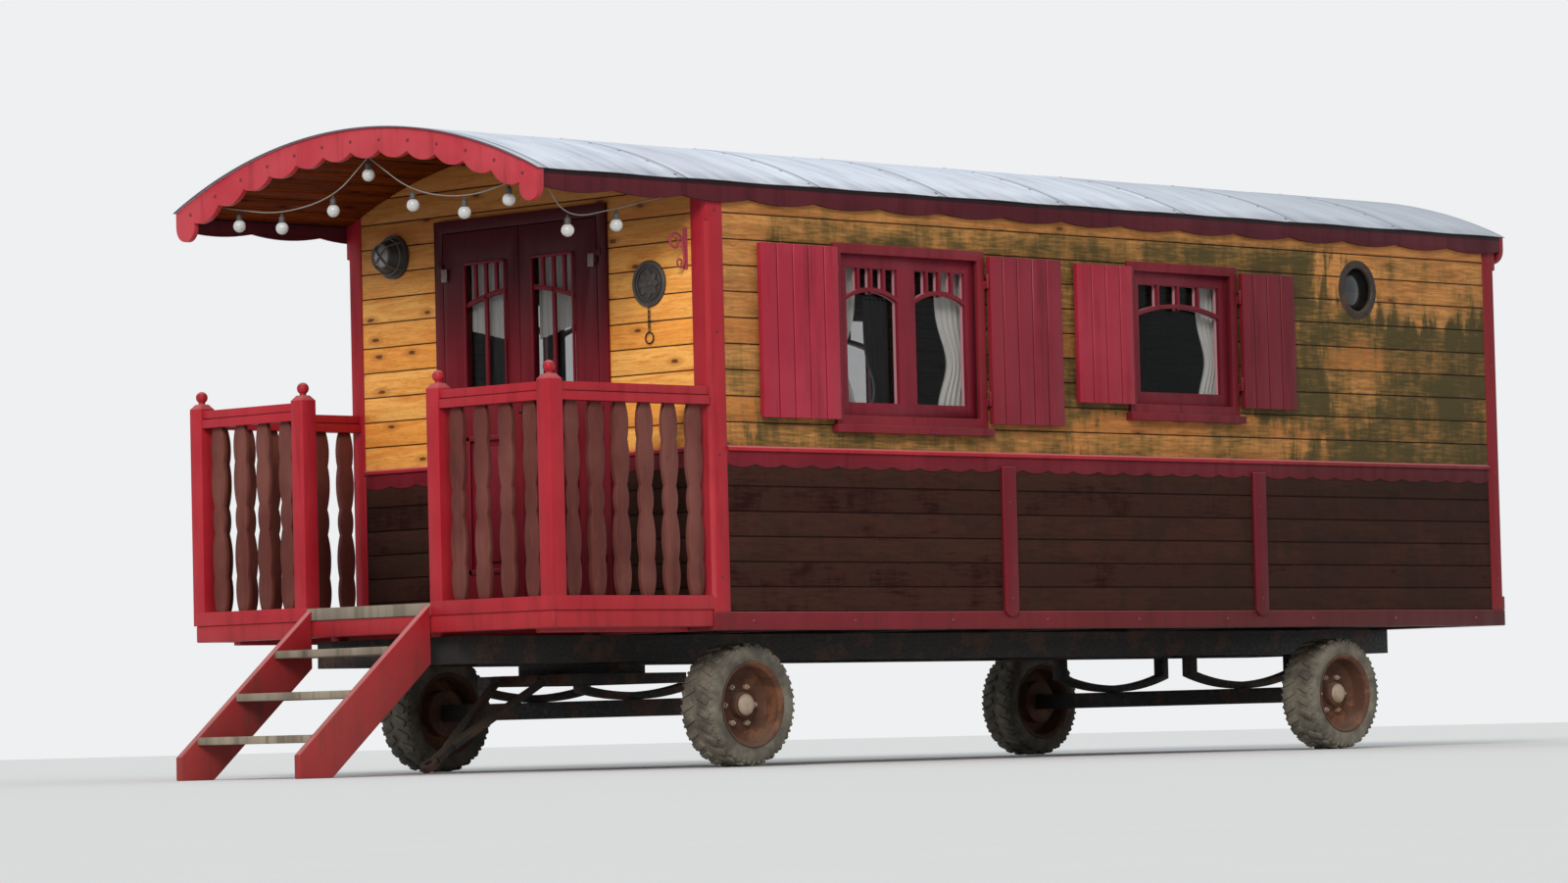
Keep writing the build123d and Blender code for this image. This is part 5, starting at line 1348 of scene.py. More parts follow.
# %% Timber edges
CHAMFER = 0.020
CHAMFER_Z = (SILL_TOP + 0.07, 2.50)
PAST = 0.01
EDGES = {
    0.005: "sill_frame lower_battens porch_frame porch_posts stair_stringers",
    0.004: "bargeboards porch_deck stair_treads door_frame window_casings window_sashes "
    "chassis_frame",
    0.003: "mid_rails eave_valances balusters rear_axle front_axle steering_frame drawbar",
}
notches = []
for x, inward in ((FRONT, 1), (REAR, -1)):
    for out in SIDES.values():
        y = out * HALF_W
        outline = [
            (x - inward * PAST, y + out * PAST),
            (x + inward * CHAMFER, y + out * PAST),
            (x + inward * CHAMFER, y),
            (x, y - out * CHAMFER),
            (x - inward * PAST, y - out * CHAMFER),
        ]
        notches.append(prism(outline, *CHAMFER_Z, "Z"))
dressed("corner_posts", 0.004, notches)
for edge, nodes in EDGES.items():
    for node in nodes.split():
        dressed(node, edge)

RAIL_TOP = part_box("porch_rails")[1].z
CAP_H, CAP_HALF = 0.040, 0.032
QUIRK_H, QUIRK_DEEP = 0.006, 0.009
post_low, post_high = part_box("porch_posts")
RAIL_X = (post_low.x + post_high.x) / 2
RAIL_Y = HALF_W - (RAIL_X - post_low.x)
quirk_z = (RAIL_TOP - CAP_H - QUIRK_H / 2, RAIL_TOP - CAP_H + QUIRK_H / 2)
quirks = []
for way in (-1, 1):
    face = RAIL_X + way * CAP_HALF
    x = sorted((face + way * PAST, face - way * QUIRK_DEEP))
    quirks.append(slab(x, (-RAIL_Y, RAIL_Y), quirk_z))
    for out in SIDES.values():
        face = out * (RAIL_Y + way * CAP_HALF)
        y = sorted((face + out * way * PAST, face - out * way * QUIRK_DEEP))
        quirks.append(slab((RAIL_X + CAP_HALF + 0.02, FRONT + PAST), y, quirk_z))
dressed("porch_rails", 0.005, quirks)
print("pieces so far:", len(made))

# %% [markdown]
# A ledge runs on top of the mid rail and throws rain clear of the lower boards. It is a thin
# sloping strip all round, broken at the door, and it is the palest line on the wagon, because it
# faces the sky and its red paint carries the painted highlight of the sky. One profile is pushed
# along each wall.

# %% Ledge over the mid rail
LEDGE_LIP, LEDGE_BACK, LEDGE_T = 0.024, 0.012, 0.012
LEDGE_PROFILE = [
    (0.0, UPPER_Z + 0.016),
    (LEDGE_LIP, UPPER_Z + 0.004),
    (LEDGE_LIP, UPPER_Z - LEDGE_T),
    (LEDGE_BACK, UPPER_Z - LEDGE_T),
    (LEDGE_BACK, UPPER_Z - 0.001),
    (0.0, UPPER_Z - 0.001),
]
strips = []
for out in SIDES.values():
    outline = [(out * (WALL_OUT + a), z) for a, z in LEDGE_PROFILE]
    strips.append(prism(outline, SPAN_X[0] + TRIM, SPAN_X[1] - TRIM, "X"))
    outline = [(FRONT_FACE - a, z) for a, z in LEDGE_PROFILE]
    strips.append(prism(outline, *between_sides(out, DOOR_HALF + TRIM, SPAN_Y - TRIM), "Y"))
outline = [(REAR_FACE + a, z) for a, z in LEDGE_PROFILE]
strips.append(prism(outline, -SPAN_Y + TRIM, SPAN_Y - TRIM, "Y"))
piece("mid_rail_ledge", joined(strips), bright_red, edge=0.003)
print("ledge strips:", len(strips))

# %% [markdown]
# Shutters are made of upright tongued boards. Each joint is a V with a narrow slot at its
# bottom, cut by one long bar of that outline; the slot stays dark, as the joint of two boards
# does. The hinge barrels of the model stay on, because they are part of the same copied piece.
# Each shutter has a small drop latch, which rides on it.

# %% Shutters
GROOVE, SLOT, SLOT_DEEP = 0.007, 0.003, 0.012
JOINT = [
    (-GROOVE, 0),
    (-SLOT, GROOVE - SLOT),
    (-SLOT, SLOT_DEEP),
    (SLOT, SLOT_DEEP),
    (SLOT, GROOVE - SLOT),
    (GROOVE, 0),
    (0, -GROOVE),
]
SHUTTER_BOARDS = {1: 5, 2: 4}
LATCH_IN, LATCH_UP, LATCH_R = 0.055, 0.05, 0.003
LATCH_BUTTON = [(0, -0.002), (0.011, -0.002), (0.011, 0.001), (0.006, 0.004), (0, 0.005)]
LATCH_BENDS = [(0.0, 0.045), (0.004, 0.01), (0.002, -0.02), (-0.006, -0.032)]


def shutter(name, out, hinge_way, boards_each):
    """Grooves a shutter on both faces; its hinge is on the side where `hinge_way` points."""
    low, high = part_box(name)
    hinge, outer = (high.x, low.x) if hinge_way > 0 else (low.x, high.x)
    pitch = (outer - hinge) / boards_each
    grooves = []
    for face, inward in ((low.y, 1), (high.y, -1)):
        for step in range(1, boards_each):
            outline = [(hinge + step * pitch + a, face + inward * b) for a, b in JOINT]
            grooves.append(prism(outline, low.z - PAST, high.z + PAST, "Z"))
    dressed(name, 0.0025, grooves)
    x, z = outer + LATCH_IN * hinge_way, (low.z + high.z) / 2
    face = high.y if out > 0 else low.y
    button_place = (x, face - out * 0.0056, z + LATCH_UP)
    bends = [(x + a, face - out * 0.0035, z + b) for a, b in LATCH_BENDS]
    latch = [turned(LATCH_BUTTON, button_place, (0, out, 0), 16), rod(bends, LATCH_R)]
    piece(f"{name}_latch", joined(latch), bolt_metal, name)


for number, boards_each in SHUTTER_BOARDS.items():
    for side, out in SIDES.items():
        for end, hinge_way in (("front", 1), ("rear", -1)):
            shutter(f"shutter_{side}_{number}_{end}", out, hinge_way, boards_each)
print("shutters boarded:", sum(name.endswith("latch") for name in made))

# %% [markdown]
# Each door leaf has an arched bar near the head of its glass, rising towards the meeting stile,
# three short bars above it and one long bar below. Mouldings frame the lower panel, and a raised
# field stands inside it. They are all flat bars with rounded edges, set into the leaf. Hinge
# plates, a lever handle and its lock plate are metal and ride on the leaf.

# %% Door leaves
BAR = 0.020
ARCH_STEPS, ARCH_RISE, ARCH_DROP = 10, 0.060, 0.135
PANEL_RAIL, FIELD_IN = 0.150, 0.055
DOOR_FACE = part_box("door_frame")[0].x + 0.007
HINGE_IN = 0.180


def moulding(depth, width, out, inner, outer, z):
    """Four strips along the inside of a rectangle on a door leaf."""
    x = (DOOR_FACE - 0.004, DOOR_FACE + depth)
    strips = []
    for edge, inward in ((inner, 1), (outer, -1)):
        strips.append(slab(x, between_sides(out, edge, edge + inward * width), z))
    for edge, inward in ((z[0], 1), (z[1], -1)):
        strips.append(slab(x, (out * inner, out * outer), sorted((edge, edge + inward * width))))
    return strips


def glazing_bars(out, inner, outer, low_z, high_z):
    """The arched bar, the three short bars over it and the long one under it."""

    def place(share):
        return out * (inner + share * (outer - inner)), high_z - ARCH_DROP - ARCH_RISE * share**1.6

    x = (DOOR_FACE + 0.006, DOOR_FACE + 0.022)
    upper = [place(step / ARCH_STEPS) for step in range(ARCH_STEPS + 1)]
    lower = [(y, z - 1.2 * BAR) for y, z in upper]
    bars = [prism(upper + lower[::-1], *x)]
    for share in (0.25, 0.5, 0.75):
        y, z = place(share)
        bars.append(slab(x, (y - BAR / 2, y + BAR / 2), (z - 0.01, high_z)))
    y, z = place(0.5)
    bars.append(slab(x, (y - BAR / 2, y + BAR / 2), (low_z, z - 0.01)))
    return bars


for side, out in SIDES.items():
    name = f"door_{side}"
    low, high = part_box(name)
    glass_low, glass_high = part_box(f"{name}_glass")
    inner, outer = between_sides(out, glass_low.y, glass_high.y)
    parts = glazing_bars(out, inner, outer, glass_low.z, glass_high.z)
    parts += moulding(0.008, 0.012, out, inner, outer, (glass_low.z, glass_high.z))
    panel = (low.z + PANEL_RAIL, glass_low.z - PANEL_RAIL)
    parts += moulding(0.004, 0.022, out, inner, outer, panel)
    field_y = between_sides(out, inner + FIELD_IN, outer - FIELD_IN)
    field_z = (panel[0] + FIELD_IN, panel[1] - FIELD_IN)
    parts.append(slab((DOOR_FACE - 0.001, DOOR_FACE + 0.004), field_y, field_z))
    piece(f"{name}_bars", joined(parts), deep_red, name, edge=0.0025)
    dressed(name)

    plate_x = (DOOR_FACE - 0.0095, DOOR_FACE - 0.0065)
    plate_y = between_sides(out, outer + 0.148, outer + 0.108)
    plates = [
        slab(plate_x, plate_y, (z - 0.05, z + 0.012))
        for z in (low.z + HINGE_IN, (low.z + high.z) / 2, high.z - HINGE_IN)
    ]
    piece(f"{name}_hinge_plates", joined(plates), bolt_metal, name, edge=0.001)
    if side == "left":
        y, z = out * (inner - 0.040), glass_low.z - 0.075
        lever = [
            (DOOR_FACE - 0.008, y, z + 0.02),
            (DOOR_FACE - 0.045, y, z + 0.02),
            (DOOR_FACE - 0.052, y, z + 0.02),
            (DOOR_FACE - 0.053, y + out * 0.01, z + 0.02),
            (DOOR_FACE - 0.053, y + out * 0.10, z + 0.014),
        ]
        lock_x = (DOOR_FACE - 0.011, DOOR_FACE - 0.006)
        keyhole = [(0, 0), (0.012, 0), (0.012, 0.012), (0, 0.014)]
        handle = [
            slab(lock_x, (y - 0.018, y + 0.018), (z - 0.085, z + 0.085)),
            rod(lever, 0.0075),
            turned(keyhole, (DOOR_FACE - 0.009, y, z - 0.045), (-1, 0, 0), 20),
        ]
        piece(f"{name}_handle", joined(handle), black_iron, name)
print("pieces so far:", len(made))

# %% [markdown]
# The wheels. A tyre is one profile turned about the axle, a little smaller than the model's, and
# two rings of slanted lugs bring it back to size, as on a farm tyre. Lugs and nuts repeat round a
# circle, so trees grow them, one mesh for each wheel.

# %% Tyres and wheels
HALF_PROFILE = [
    (0.1855, -0.083),
    (0.200, -0.098),
    (0.206, -0.1015),
    (0.212, -0.1005),
    (0.216, -0.103),
    (0.236, -0.1048),
    (0.250, -0.1030),
    (0.262, -0.098),
    (0.2695, -0.090),
    (0.2725, -0.078),
    (0.2735, -0.040),
    (0.2740, 0.0),
]
MIRRORED = [(radius, -height) for radius, height in HALF_PROFILE[-2::-1]]
TYRE_PROFILE = [*HALF_PROFILE, *MIRRORED, HALF_PROFILE[0]]
LUGS = 26
LUG = {"Bars": LUGS, "Radius": 0.2749, "Depth": 0.016, "Width": 0.034, "Length": 0.074}
LUG_SLANT, LUG_ASIDE = 0.42, 0.049
RIB = {"Bars": 52, "Radius": 0.2620, "Depth": 0.020, "Width": 0.012, "Length": 0.2000}
NUT = {"Nuts": 6, "Radius": 0.095, "Nut_radius": 0.014, "Height": 0.030, "Corners": 6}
STUD = {"Nuts": 6, "Radius": 0.095, "Nut_radius": 0.006, "Height": 0.050, "Corners": 12}
CAP_PROFILE = [(0, 0), (0.050, 0), (0.050, 0.006), (0.040, 0.016), (0.022, 0.021), (0, 0.022)]
ON_AXLE = Matrix.Rotation(-pi / 2, 4, "X")


def wheel(end, side, out):
    """A tyre with lugs and ribs, a rounded rim, and nuts with a hub cap, on one wheel."""
    name, body = f"tyre_{end}_{side}", f"wheel_{end}_{side}"
    low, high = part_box(name)
    centre = (low + high) / 2
    shells = [turned(TYRE_PROFILE, centre, (0, 1, 0), 72)]
    for way, phase in ((1, 0.0), (-1, pi / LUGS)):
        aside = Matrix.Translation(centre + Vector((0, way * LUG_ASIDE, 0)))
        place = aside @ ON_AXLE @ Matrix.Rotation(phase, 4, "Z")
        slant = way * LUG_SLANT
        shells.append(grown(ring_tree, tyre_rubber, edge=0.003, place=place, Slant=slant, **LUG))
    place = Matrix.Translation(centre) @ ON_AXLE
    shells.append(grown(ring_tree, tyre_rubber, edge=0.002, place=place, Slant=0.0, **RIB))
    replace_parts(piece(f"{name}_tread", joined(shells), tyre_rubber, body), name)

    dressed(f"rim_{end}_{side}", 0.0025)
    place = Matrix.Translation(centre + Vector((0, out * 0.001, 0))) @ ON_AXLE
    nuts = grown(nut_tree, bolt_metal, edge=0.0015, place=place, **NUT)
    studs = grown(nut_tree, bolt_metal, place=place, **STUD)
    cap = turned(CAP_PROFILE, centre + Vector((0, out * 0.050, 0)), (0, out, 0), 36)
    piece(f"hub_{end}_{side}", joined([nuts, studs, cap]), hub_grey, body)


for end in ("front", "rear"):
    for side, out in SIDES.items():
        wheel(end, side, out)
print("wheels dressed:", sum(name.startswith("hub") for name in made))

# %% [markdown]
# The roof. Eight metal sheets lie across the wagon, each lapping the next, so that rain runs over
# the joints. One sheet is a grid bent to the roof's arch, with two faces and a rim. Its outer face
# sinks a little towards one end, where the next sheet covers it, and its eave edges ripple, as
# thin sheet does between its nails. Nails repeat along each lap, so a tree grows them.

# %% Roof sheets
SHEET_T, EAVE_T = 0.005, 0.0016
LAP_DROP = 0.0024
RIPPLE, RIPPLE_WAVES, EAVE_SHARE = 0.0030, 9.4, 0.10
EDGE_ANGLE = asin((ROOF_HIGH.y - 0.0005) / ROOF_R)
NAIL_IN = 0.020


def double_sheet(corners, rows, columns, angle):
    """Two grids of corners, one behind the other, as one sheet with a rim."""
    row, layer = columns + 1, (rows + 1) * (columns + 1)
    faces = []
    for i in range(rows):
        for j in range(columns):
            a = i * row + j
            faces.append((a, a + 1, a + row + 1, a + row))
            faces.append((layer + a, layer + a + row, layer + a + row + 1, layer + a + 1))
    rim = [i * row for i in range(rows + 1)]
    rim += [rows * row + j for j in range(1, columns + 1)]
    rim += [i * row + columns for i in range(rows - 1, -1, -1)]
    rim += range(columns - 1, 0, -1)
    faces += [(a, b, layer + b, layer + a) for a, b in zip(rim, rim[1:] + rim[:1])]
    return smooth_by_angle(new_mesh("double_sheet", corners, faces), angle)


def roof_sheet(start, end, phase, along=20, across=56):
    """One bent sheet between two places along the wagon."""
    corners = []
    for under in (0, 1):
        for i in range(along + 1):
            share = i / along
            x = start + share * (end - start)
            for j in range(across + 1):
                angle = EDGE_ANGLE * (2 * j / across - 1)
                past_nails = abs(angle) / EDGE_ANGLE - (1 - EAVE_SHARE)
                near_eave = max(0.0, past_nails / EAVE_SHARE) ** 2
                sag = RIPPLE * near_eave * (1 + sin(share * RIPPLE_WAVES + phase)) / 2
                radius = ROOF_R - LAP_DROP * share - sag
                radius -= under * (EAVE_T if near_eave else SHEET_T - LAP_DROP * share - 0.0004)
                corners.append((x, radius * sin(angle), ROOF_CZ + radius * cos(angle)))
    return double_sheet(corners, along, across, 40)


def on_arch(x, **sizes):
    """Puts what grew along an arch in the XY plane into the wagon's cross plane."""
    turn_up = Matrix(((0, 0, 1, x), (1, 0, 0, 0), (0, 1, 0, ROOF_CZ), (0, 0, 0, 1)))
    return grown(arch_tree, place=turn_up, **sizes)


NAILS = {
    "finish": bolt_metal,
    "edge": 0.0016,
    "Count": 14,
    "Radius": ROOF_R - 0.0004,
    "Half_angle": EDGE_ANGLE * 0.97,
    "Length": 0.014,
    "Width": 0.014,
    "Depth": 0.0036,
}
starts = [ROOF_LOW.x + index * SHEET_PITCH for index in range(SHEETS)]
sheets = [roof_sheet(x, x + SHEET_LENGTH, 2.3 * index) for index, x in enumerate(starts)]
nails = [on_arch(x + NAIL_IN, **NAILS) for x in starts[1:]]
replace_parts(piece("roof_sheets", joined(sheets), roof_metal), "roof_sheet")
piece("roof_nails", joined(nails), bolt_metal)
print("roof sheets", SHEETS, "of", round(SHEET_LENGTH, 3), "m")

# %% [markdown]
# Under the porch the ceiling boards show from below. Bars grow along the same arch, each as long
# as the porch roof is deep, with narrow dark gaps between them.

# %% Porch ceiling
ceiling_x = (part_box("roof_boards")[0].x + 0.002, FRONT_FACE - 0.010)
ceiling = on_arch(
    (ceiling_x[0] + ceiling_x[1]) / 2,
    finish=ceiling_pine,
    edge=0.0025,
    Count=22,
    Radius=UNDER_ROOF_R - 0.0045,
    Half_angle=asin(1.175 / UNDER_ROOF_R),
    Length=ceiling_x[1] - ceiling_x[0],
    Width=0.108,
    Depth=0.009,
)
piece("porch_ceiling_boards", ceiling, ceiling_pine)
print("ceiling boards", round(ceiling_x[1] - ceiling_x[0], 3), "m long")

# %% [markdown]
# Bolts and nails. They are small, but they say how the wagon is held together: a bolt in each bay
# of the bargeboards, coach bolts in posts and battens, screws in treads and deck. Each row is
# grown along X and then turned into its place.

# %% Bolts and screws
UP, ALONG = (0, 0, 1), (1, 0, 0)
SCREW_R, SCREW_H = 0.0045, 0.0016


def stud_row(start, run, facing, count, pitch, radius=0.007, height=0.004):
    """A row of round heads from a place, along a direction, standing on a face."""
    run, facing = Vector(run), Vector(facing)
    turn = Matrix((run, facing.cross(run), facing)).transposed().to_4x4()
    sizes = {"Studs": count, "Pitch": pitch, "Radius": radius, "Height": height}
    return grown(stud_tree, painted_bolt, place=Matrix.Translation(start) @ turn, **sizes)


BOLT_R = ROOF_R - 0.062
BARGE_BOLTS = {
    "finish": painted_bolt,
    "edge": 0.003,
    "Count": 13,
    "Radius": BOLT_R,
    "Half_angle": asin(1.16 / BOLT_R),
    "Length": 0.007,
    "Width": 0.015,
    "Depth": 0.015,
}
BATTEN_XS = (FRONT + 1.990, FRONT + 3.850)
POST_IN = 0.052
SILL_BOLTS, SILL_BOLT_IN = 9, 0.25
sill_pitch = (REAR - FRONT - 2 * SILL_BOLT_IN) / (SILL_BOLTS - 1)
batten_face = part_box("lower_battens")[1].y - 0.001
barge_low, barge_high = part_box("bargeboards")
bolts = [on_arch(x, **BARGE_BOLTS) for x in (barge_low.x + 0.0005, barge_high.x - 0.0005)]
for out in SIDES.values():
    face, side = (0, out, 0), out * HALF_W
    for x in BATTEN_XS:
        bolts.append(stud_row((x, out * batten_face, SILL_TOP + 0.06), UP, face, 2, 0.46))
    for x in (FRONT + POST_IN, REAR - POST_IN):
        bolts.append(stud_row((x, side, SILL_TOP + 0.16), UP, face, 4, 0.56, 0.009))
    sill_start = (FRONT + SILL_BOLT_IN, side, SILL_Z + 0.040)
    bolts.append(stud_row(sill_start, ALONG, face, SILL_BOLTS, sill_pitch, 0.010, 0.006))
piece("timber_bolts", joined(bolts), painted_bolt)

DECK_PITCH = 0.12
TREADS, TREAD_D = 3, 0.235
tread_low, tread_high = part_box("stair_treads")
deck_low, deck_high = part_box("porch_deck")
deck_screws = int((deck_high.x - deck_low.x - 0.06) / DECK_PITCH)
screws = []
for y in (-0.97, -0.35, 0.35, 0.97):
    start = (deck_low.x + 0.045, y, deck_high.z)
    screws.append(stud_row(start, ALONG, UP, deck_screws, DECK_PITCH, SCREW_R, SCREW_H))
tread_run = (tread_high.x - tread_low.x - TREAD_D) / (TREADS - 1)
tread_rise = DECK_Z / (TREADS + 1)
for index in range(TREADS):
    for y in (-0.35, 0.35):
        start = (tread_low.x + index * tread_run + 0.055, y, (index + 1) * tread_rise)
        screws.append(stud_row(start, ALONG, UP, 2, 0.125, SCREW_R, SCREW_H))
piece("deck_screws", joined(screws), bolt_metal)
print("rows of bolts:", len(bolts), "rows of screws:", len(screws))

# %% [markdown]
# A round bulkhead lamp hangs by the door: a turned lens behind a guard of bent wire, two rings
# and four bars that meet in the middle. A wire is a line of points with a round section.

# %% Lamp
LAMP_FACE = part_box("wall_fittings")[0].x
LAMP_Y, LAMP_Z = 0.900, 2.487
WIRE_R = 0.004
LENS = [(0, -0.004), (0.030, -0.003), (0.052, 0.004), (0.058, 0.012), (0.058, 0.016), (0, 0.016)]
WIRE_BENDS = [
    (0.0, -0.016),
    (0.040, -0.014),
    (0.060, -0.010),
    (0.074, 0.010),
    (0.088, 0.040),
    (0.093, 0.066),
]
lens = turned(LENS, (LAMP_FACE - 0.006, LAMP_Y, LAMP_Z), (1, 0, 0), 40)
piece("lamp_lens", lens, lamp_glass)
guard = []
for radius, depth in ((0.060, -0.010), (0.086, 0.040)):
    ring = [(LAMP_FACE + depth, LAMP_Y + y, LAMP_Z + z) for y, z in circle(radius, 40)]
    guard.append(rod(ring, WIRE_R, cyclic=True))
for quarter in range(4):
    angle = (2 * quarter + 1) * pi / 4
    bar = [
        (LAMP_FACE + depth, LAMP_Y + radius * cos(angle), LAMP_Z + radius * sin(angle))
        for radius, depth in WIRE_BENDS
    ]
    guard.append(rod(bar, WIRE_R))
piece("lamp_guard", joined(guard), guard_paint)
print("wires in the guard:", len(guard))

# %% [markdown]
# On the other side of the door hangs a cast disc with a plain rosette, and a chain with a ring
# under it. The rosette is a generic one, petals round a boss, as on any cast ornament. A petal
# is an outline pushed out a little, copied round the boss; the links are bent rods, every other
# one turned by a quarter, as in a real chain.

# %% Rosette and chain
PLAQUE_Y, PLAQUE_Z, PLAQUE_R = -0.868, 2.232, 0.108
PLAQUE_FACE = FRONT_FACE - 0.014
PETALS, PETAL_STEPS = 8, 10
BOSS = [(0, -0.011), (0.012, -0.009), (0.018, -0.004), (0.019, 0.001), (0, 0.001)]
petal = [(0.012, 0.0)]
for step in range(1, PETAL_STEPS):
    share = step / PETAL_STEPS
    petal.append((0.012 + 0.058 * share, 0.017 * sin(pi * min(1, share * 1.05)) ** 0.7))
petal.append((0.070, 0.0))
petal += [(reach, -width) for reach, width in petal[-2:0:-1]]
relief = []
for index in range(PETALS):
    c, s = cos(index * 2 * pi / PETALS), sin(index * 2 * pi / PETALS)
    outline = [(PLAQUE_Y + r * c - w * s, PLAQUE_Z + r * s + w * c) for r, w in petal]
    relief.append(prism(outline, PLAQUE_FACE - 0.006, PLAQUE_FACE + 0.001))
disc_centre = (PLAQUE_FACE, PLAQUE_Y, PLAQUE_Z)
relief.append(turned(BOSS, disc_centre, (1, 0, 0), 28))
for inner, outer in ((0.092, 0.107), (0.074, 0.080)):
    back, crest = (inner, 0.001), ((inner + outer) / 2, -0.008)
    rim = [back, (inner, -0.005), crest, (outer, -0.005), (outer, 0.001), back]
    relief.append(turned(rim, disc_centre, (1, 0, 0), 48))
piece("rosette", joined(relief), cast_grey, edge=0.0015)

LINKS, LINK, LINK_HALF = 5, 0.016, 0.006
LINK_PITCH = LINK * 1.35
RING_R = 0.026
chain_x = PLAQUE_FACE - 0.004
chain_top = PLAQUE_Z - PLAQUE_R - 0.004
links = []
for index in range(LINKS):
    middle = chain_top - index * LINK_PITCH - LINK / 2
    oval = []
    for sway, rise in circle(1.0, 16):
        sway, rise = LINK_HALF * sway, LINK * rise
        x, y = (sway, 0) if index % 2 else (0, sway)
        oval.append((chain_x + x, PLAQUE_Y + y, middle + rise))
    links.append(rod(oval, 0.0018, cyclic=True, sides=2))
ring_z = chain_top - LINKS * LINK_PITCH - 0.03
ring = [(chain_x, PLAQUE_Y + y, ring_z + z) for y, z in circle(RING_R, 28)]
links.append(rod(ring, 0.0035, cyclic=True))
piece("chain_and_ring", joined(links), black_iron)
print("petals and rims:", len(relief), "links:", len(links))

# %% [markdown]
# By the corner post a scrolled bracket of bent iron stands out from the wall: two flat curls on a
# back plate. A curl is a circle whose radius shrinks as it goes round.

# %% Scroll bracket
SCROLL_Y, SCROLL_Z = -1.110, 2.386
SCROLL_X = FRONT_FACE - 0.012
CURL_STEPS, CURL_IN = 33, 0.70


def curl(x, z, size, turns):
    """Points of a flat curl in the plane that stands out from the wall."""
    points = []
    for step in range(CURL_STEPS + 1):
        share = step / CURL_STEPS
        angle, radius = share * turns * 2 * pi, size * (1 - CURL_IN * share)
        points.append((x + radius * cos(angle), SCROLL_Y, z + radius * sin(angle)))
    return points


upper_curl = curl(SCROLL_X - 0.062, SCROLL_Z + 0.020, 0.045, 1.25)
lower_curl = curl(SCROLL_X - 0.034, SCROLL_Z - 0.075, 0.026, -1.2)
plate_x, plate_y = (SCROLL_X - 0.0005, SCROLL_X + 0.0045), (SCROLL_Y - 0.013, SCROLL_Y + 0.013)
scroll = [
    rod([(SCROLL_X - 0.004, SCROLL_Y, SCROLL_Z - 0.070), *upper_curl], 0.0060),
    rod([(SCROLL_X - 0.004, SCROLL_Y, SCROLL_Z - 0.010), *lower_curl], 0.0045),
    slab(plate_x, plate_y, (SCROLL_Z - 0.105, SCROLL_Z + 0.085)),
]
piece("scroll_bracket", joined(scroll), scroll_iron)
print("scroll parts:", len(scroll))

# %% [markdown]
# The porthole: a round dark frame with a stepped face, six screws and a pane set back in it. It
# stands for the model's plain ring. The frame is one profile turned about the hole's axis.

# %% Porthole
STEPPED = [
    (-0.014, -0.018),
    (-0.014, 0.013),
    (-0.006, 0.0165),
    (0.004, 0.0165),
    (0.007, 0.0125),
    (0.022, 0.0115),
    (0.0275, 0.0080),
    (0.0275, 0.0005),
    (-0.0005, 0.0005),
    (-0.0005, -0.018),
    (-0.014, -0.018),
]
PANE_R = HOLE_R - 0.013
PANE = [(0, -0.016), (PANE_R, -0.016), (PANE_R, -0.011), (0, -0.009)]
HOLE_SCREW = {"Nuts": 6, "Radius": HOLE_R + 0.015, "Nut_radius": 0.006, "Height": 0.006}
hole_place, hole_out = (HOLE_X, -WALL_OUT, HOLE_Z), (0, -1, 0)
hole_ring = turned([(HOLE_R + a, b) for a, b in STEPPED], hole_place, hole_out, 64)
on_ring = Matrix.Translation((HOLE_X, -WALL_OUT - 0.0125, HOLE_Z))
place = on_ring @ Matrix.Rotation(pi / 2, 4, "X")
hole_screws = grown(nut_tree, hole_iron, edge=0.001, place=place, Corners=12, **HOLE_SCREW)
ring_mesh = joined([hole_ring, hole_screws])
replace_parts(piece("porthole_frame", ring_mesh, hole_iron), "porthole")
piece("porthole_pane", turned(PANE, hole_place, hole_out, 64), dark_pane)
print("porthole", 2 * HOLE_R, "m wide")

# %% [markdown]
# Curtains hang behind the glass: one at each outer side of a window, and a short one over the top
# of each door pane. A cloth simulation could drape them, but these hang still and gathered, so a
# curtain is a thin double sheet on a grid. Sine pleats stand out from its plane, and it narrows
# where a band ties it back.

# %% Cloth and curtain
cloth = Finish("white_cotton", Sheen_Weight=0.3, Specular_IOR_Level=0.2)
x, y, z = cloth.axes()
weft = cloth.noise(900, cloth.vector(cloth.plus(x, y), cloth.times(z, 0.3), 0.0), detail=2)
warp = cloth.noise(900, cloth.vector(cloth.times(cloth.plus(x, y), 0.3), z, 0.0), detail=2)
weave = cloth.plus(cloth.times(weft, 0.5), cloth.times(warp, 0.5))
cloth.colour(cloth.mix(weave, shade(226, 223, 217), shade(246, 245, 241)))
cloth.rough(weave, 0.8, 0.95)
cloth.bump(weave, depth=0.0004, strength=0.5)

CLOTH_T = 0.0012
ROWS, COLUMNS_PER_PLEAT = 26, 12
WAIST_AT, WAIST_WIDE = 0.62, 0.17
ROD_R, BRACKET_R = 0.0045, 0.004
KNOB = [(0, -0.002), (0.006, 0), (0.0085, 0.006), (0.006, 0.012), (0, 0.014)]


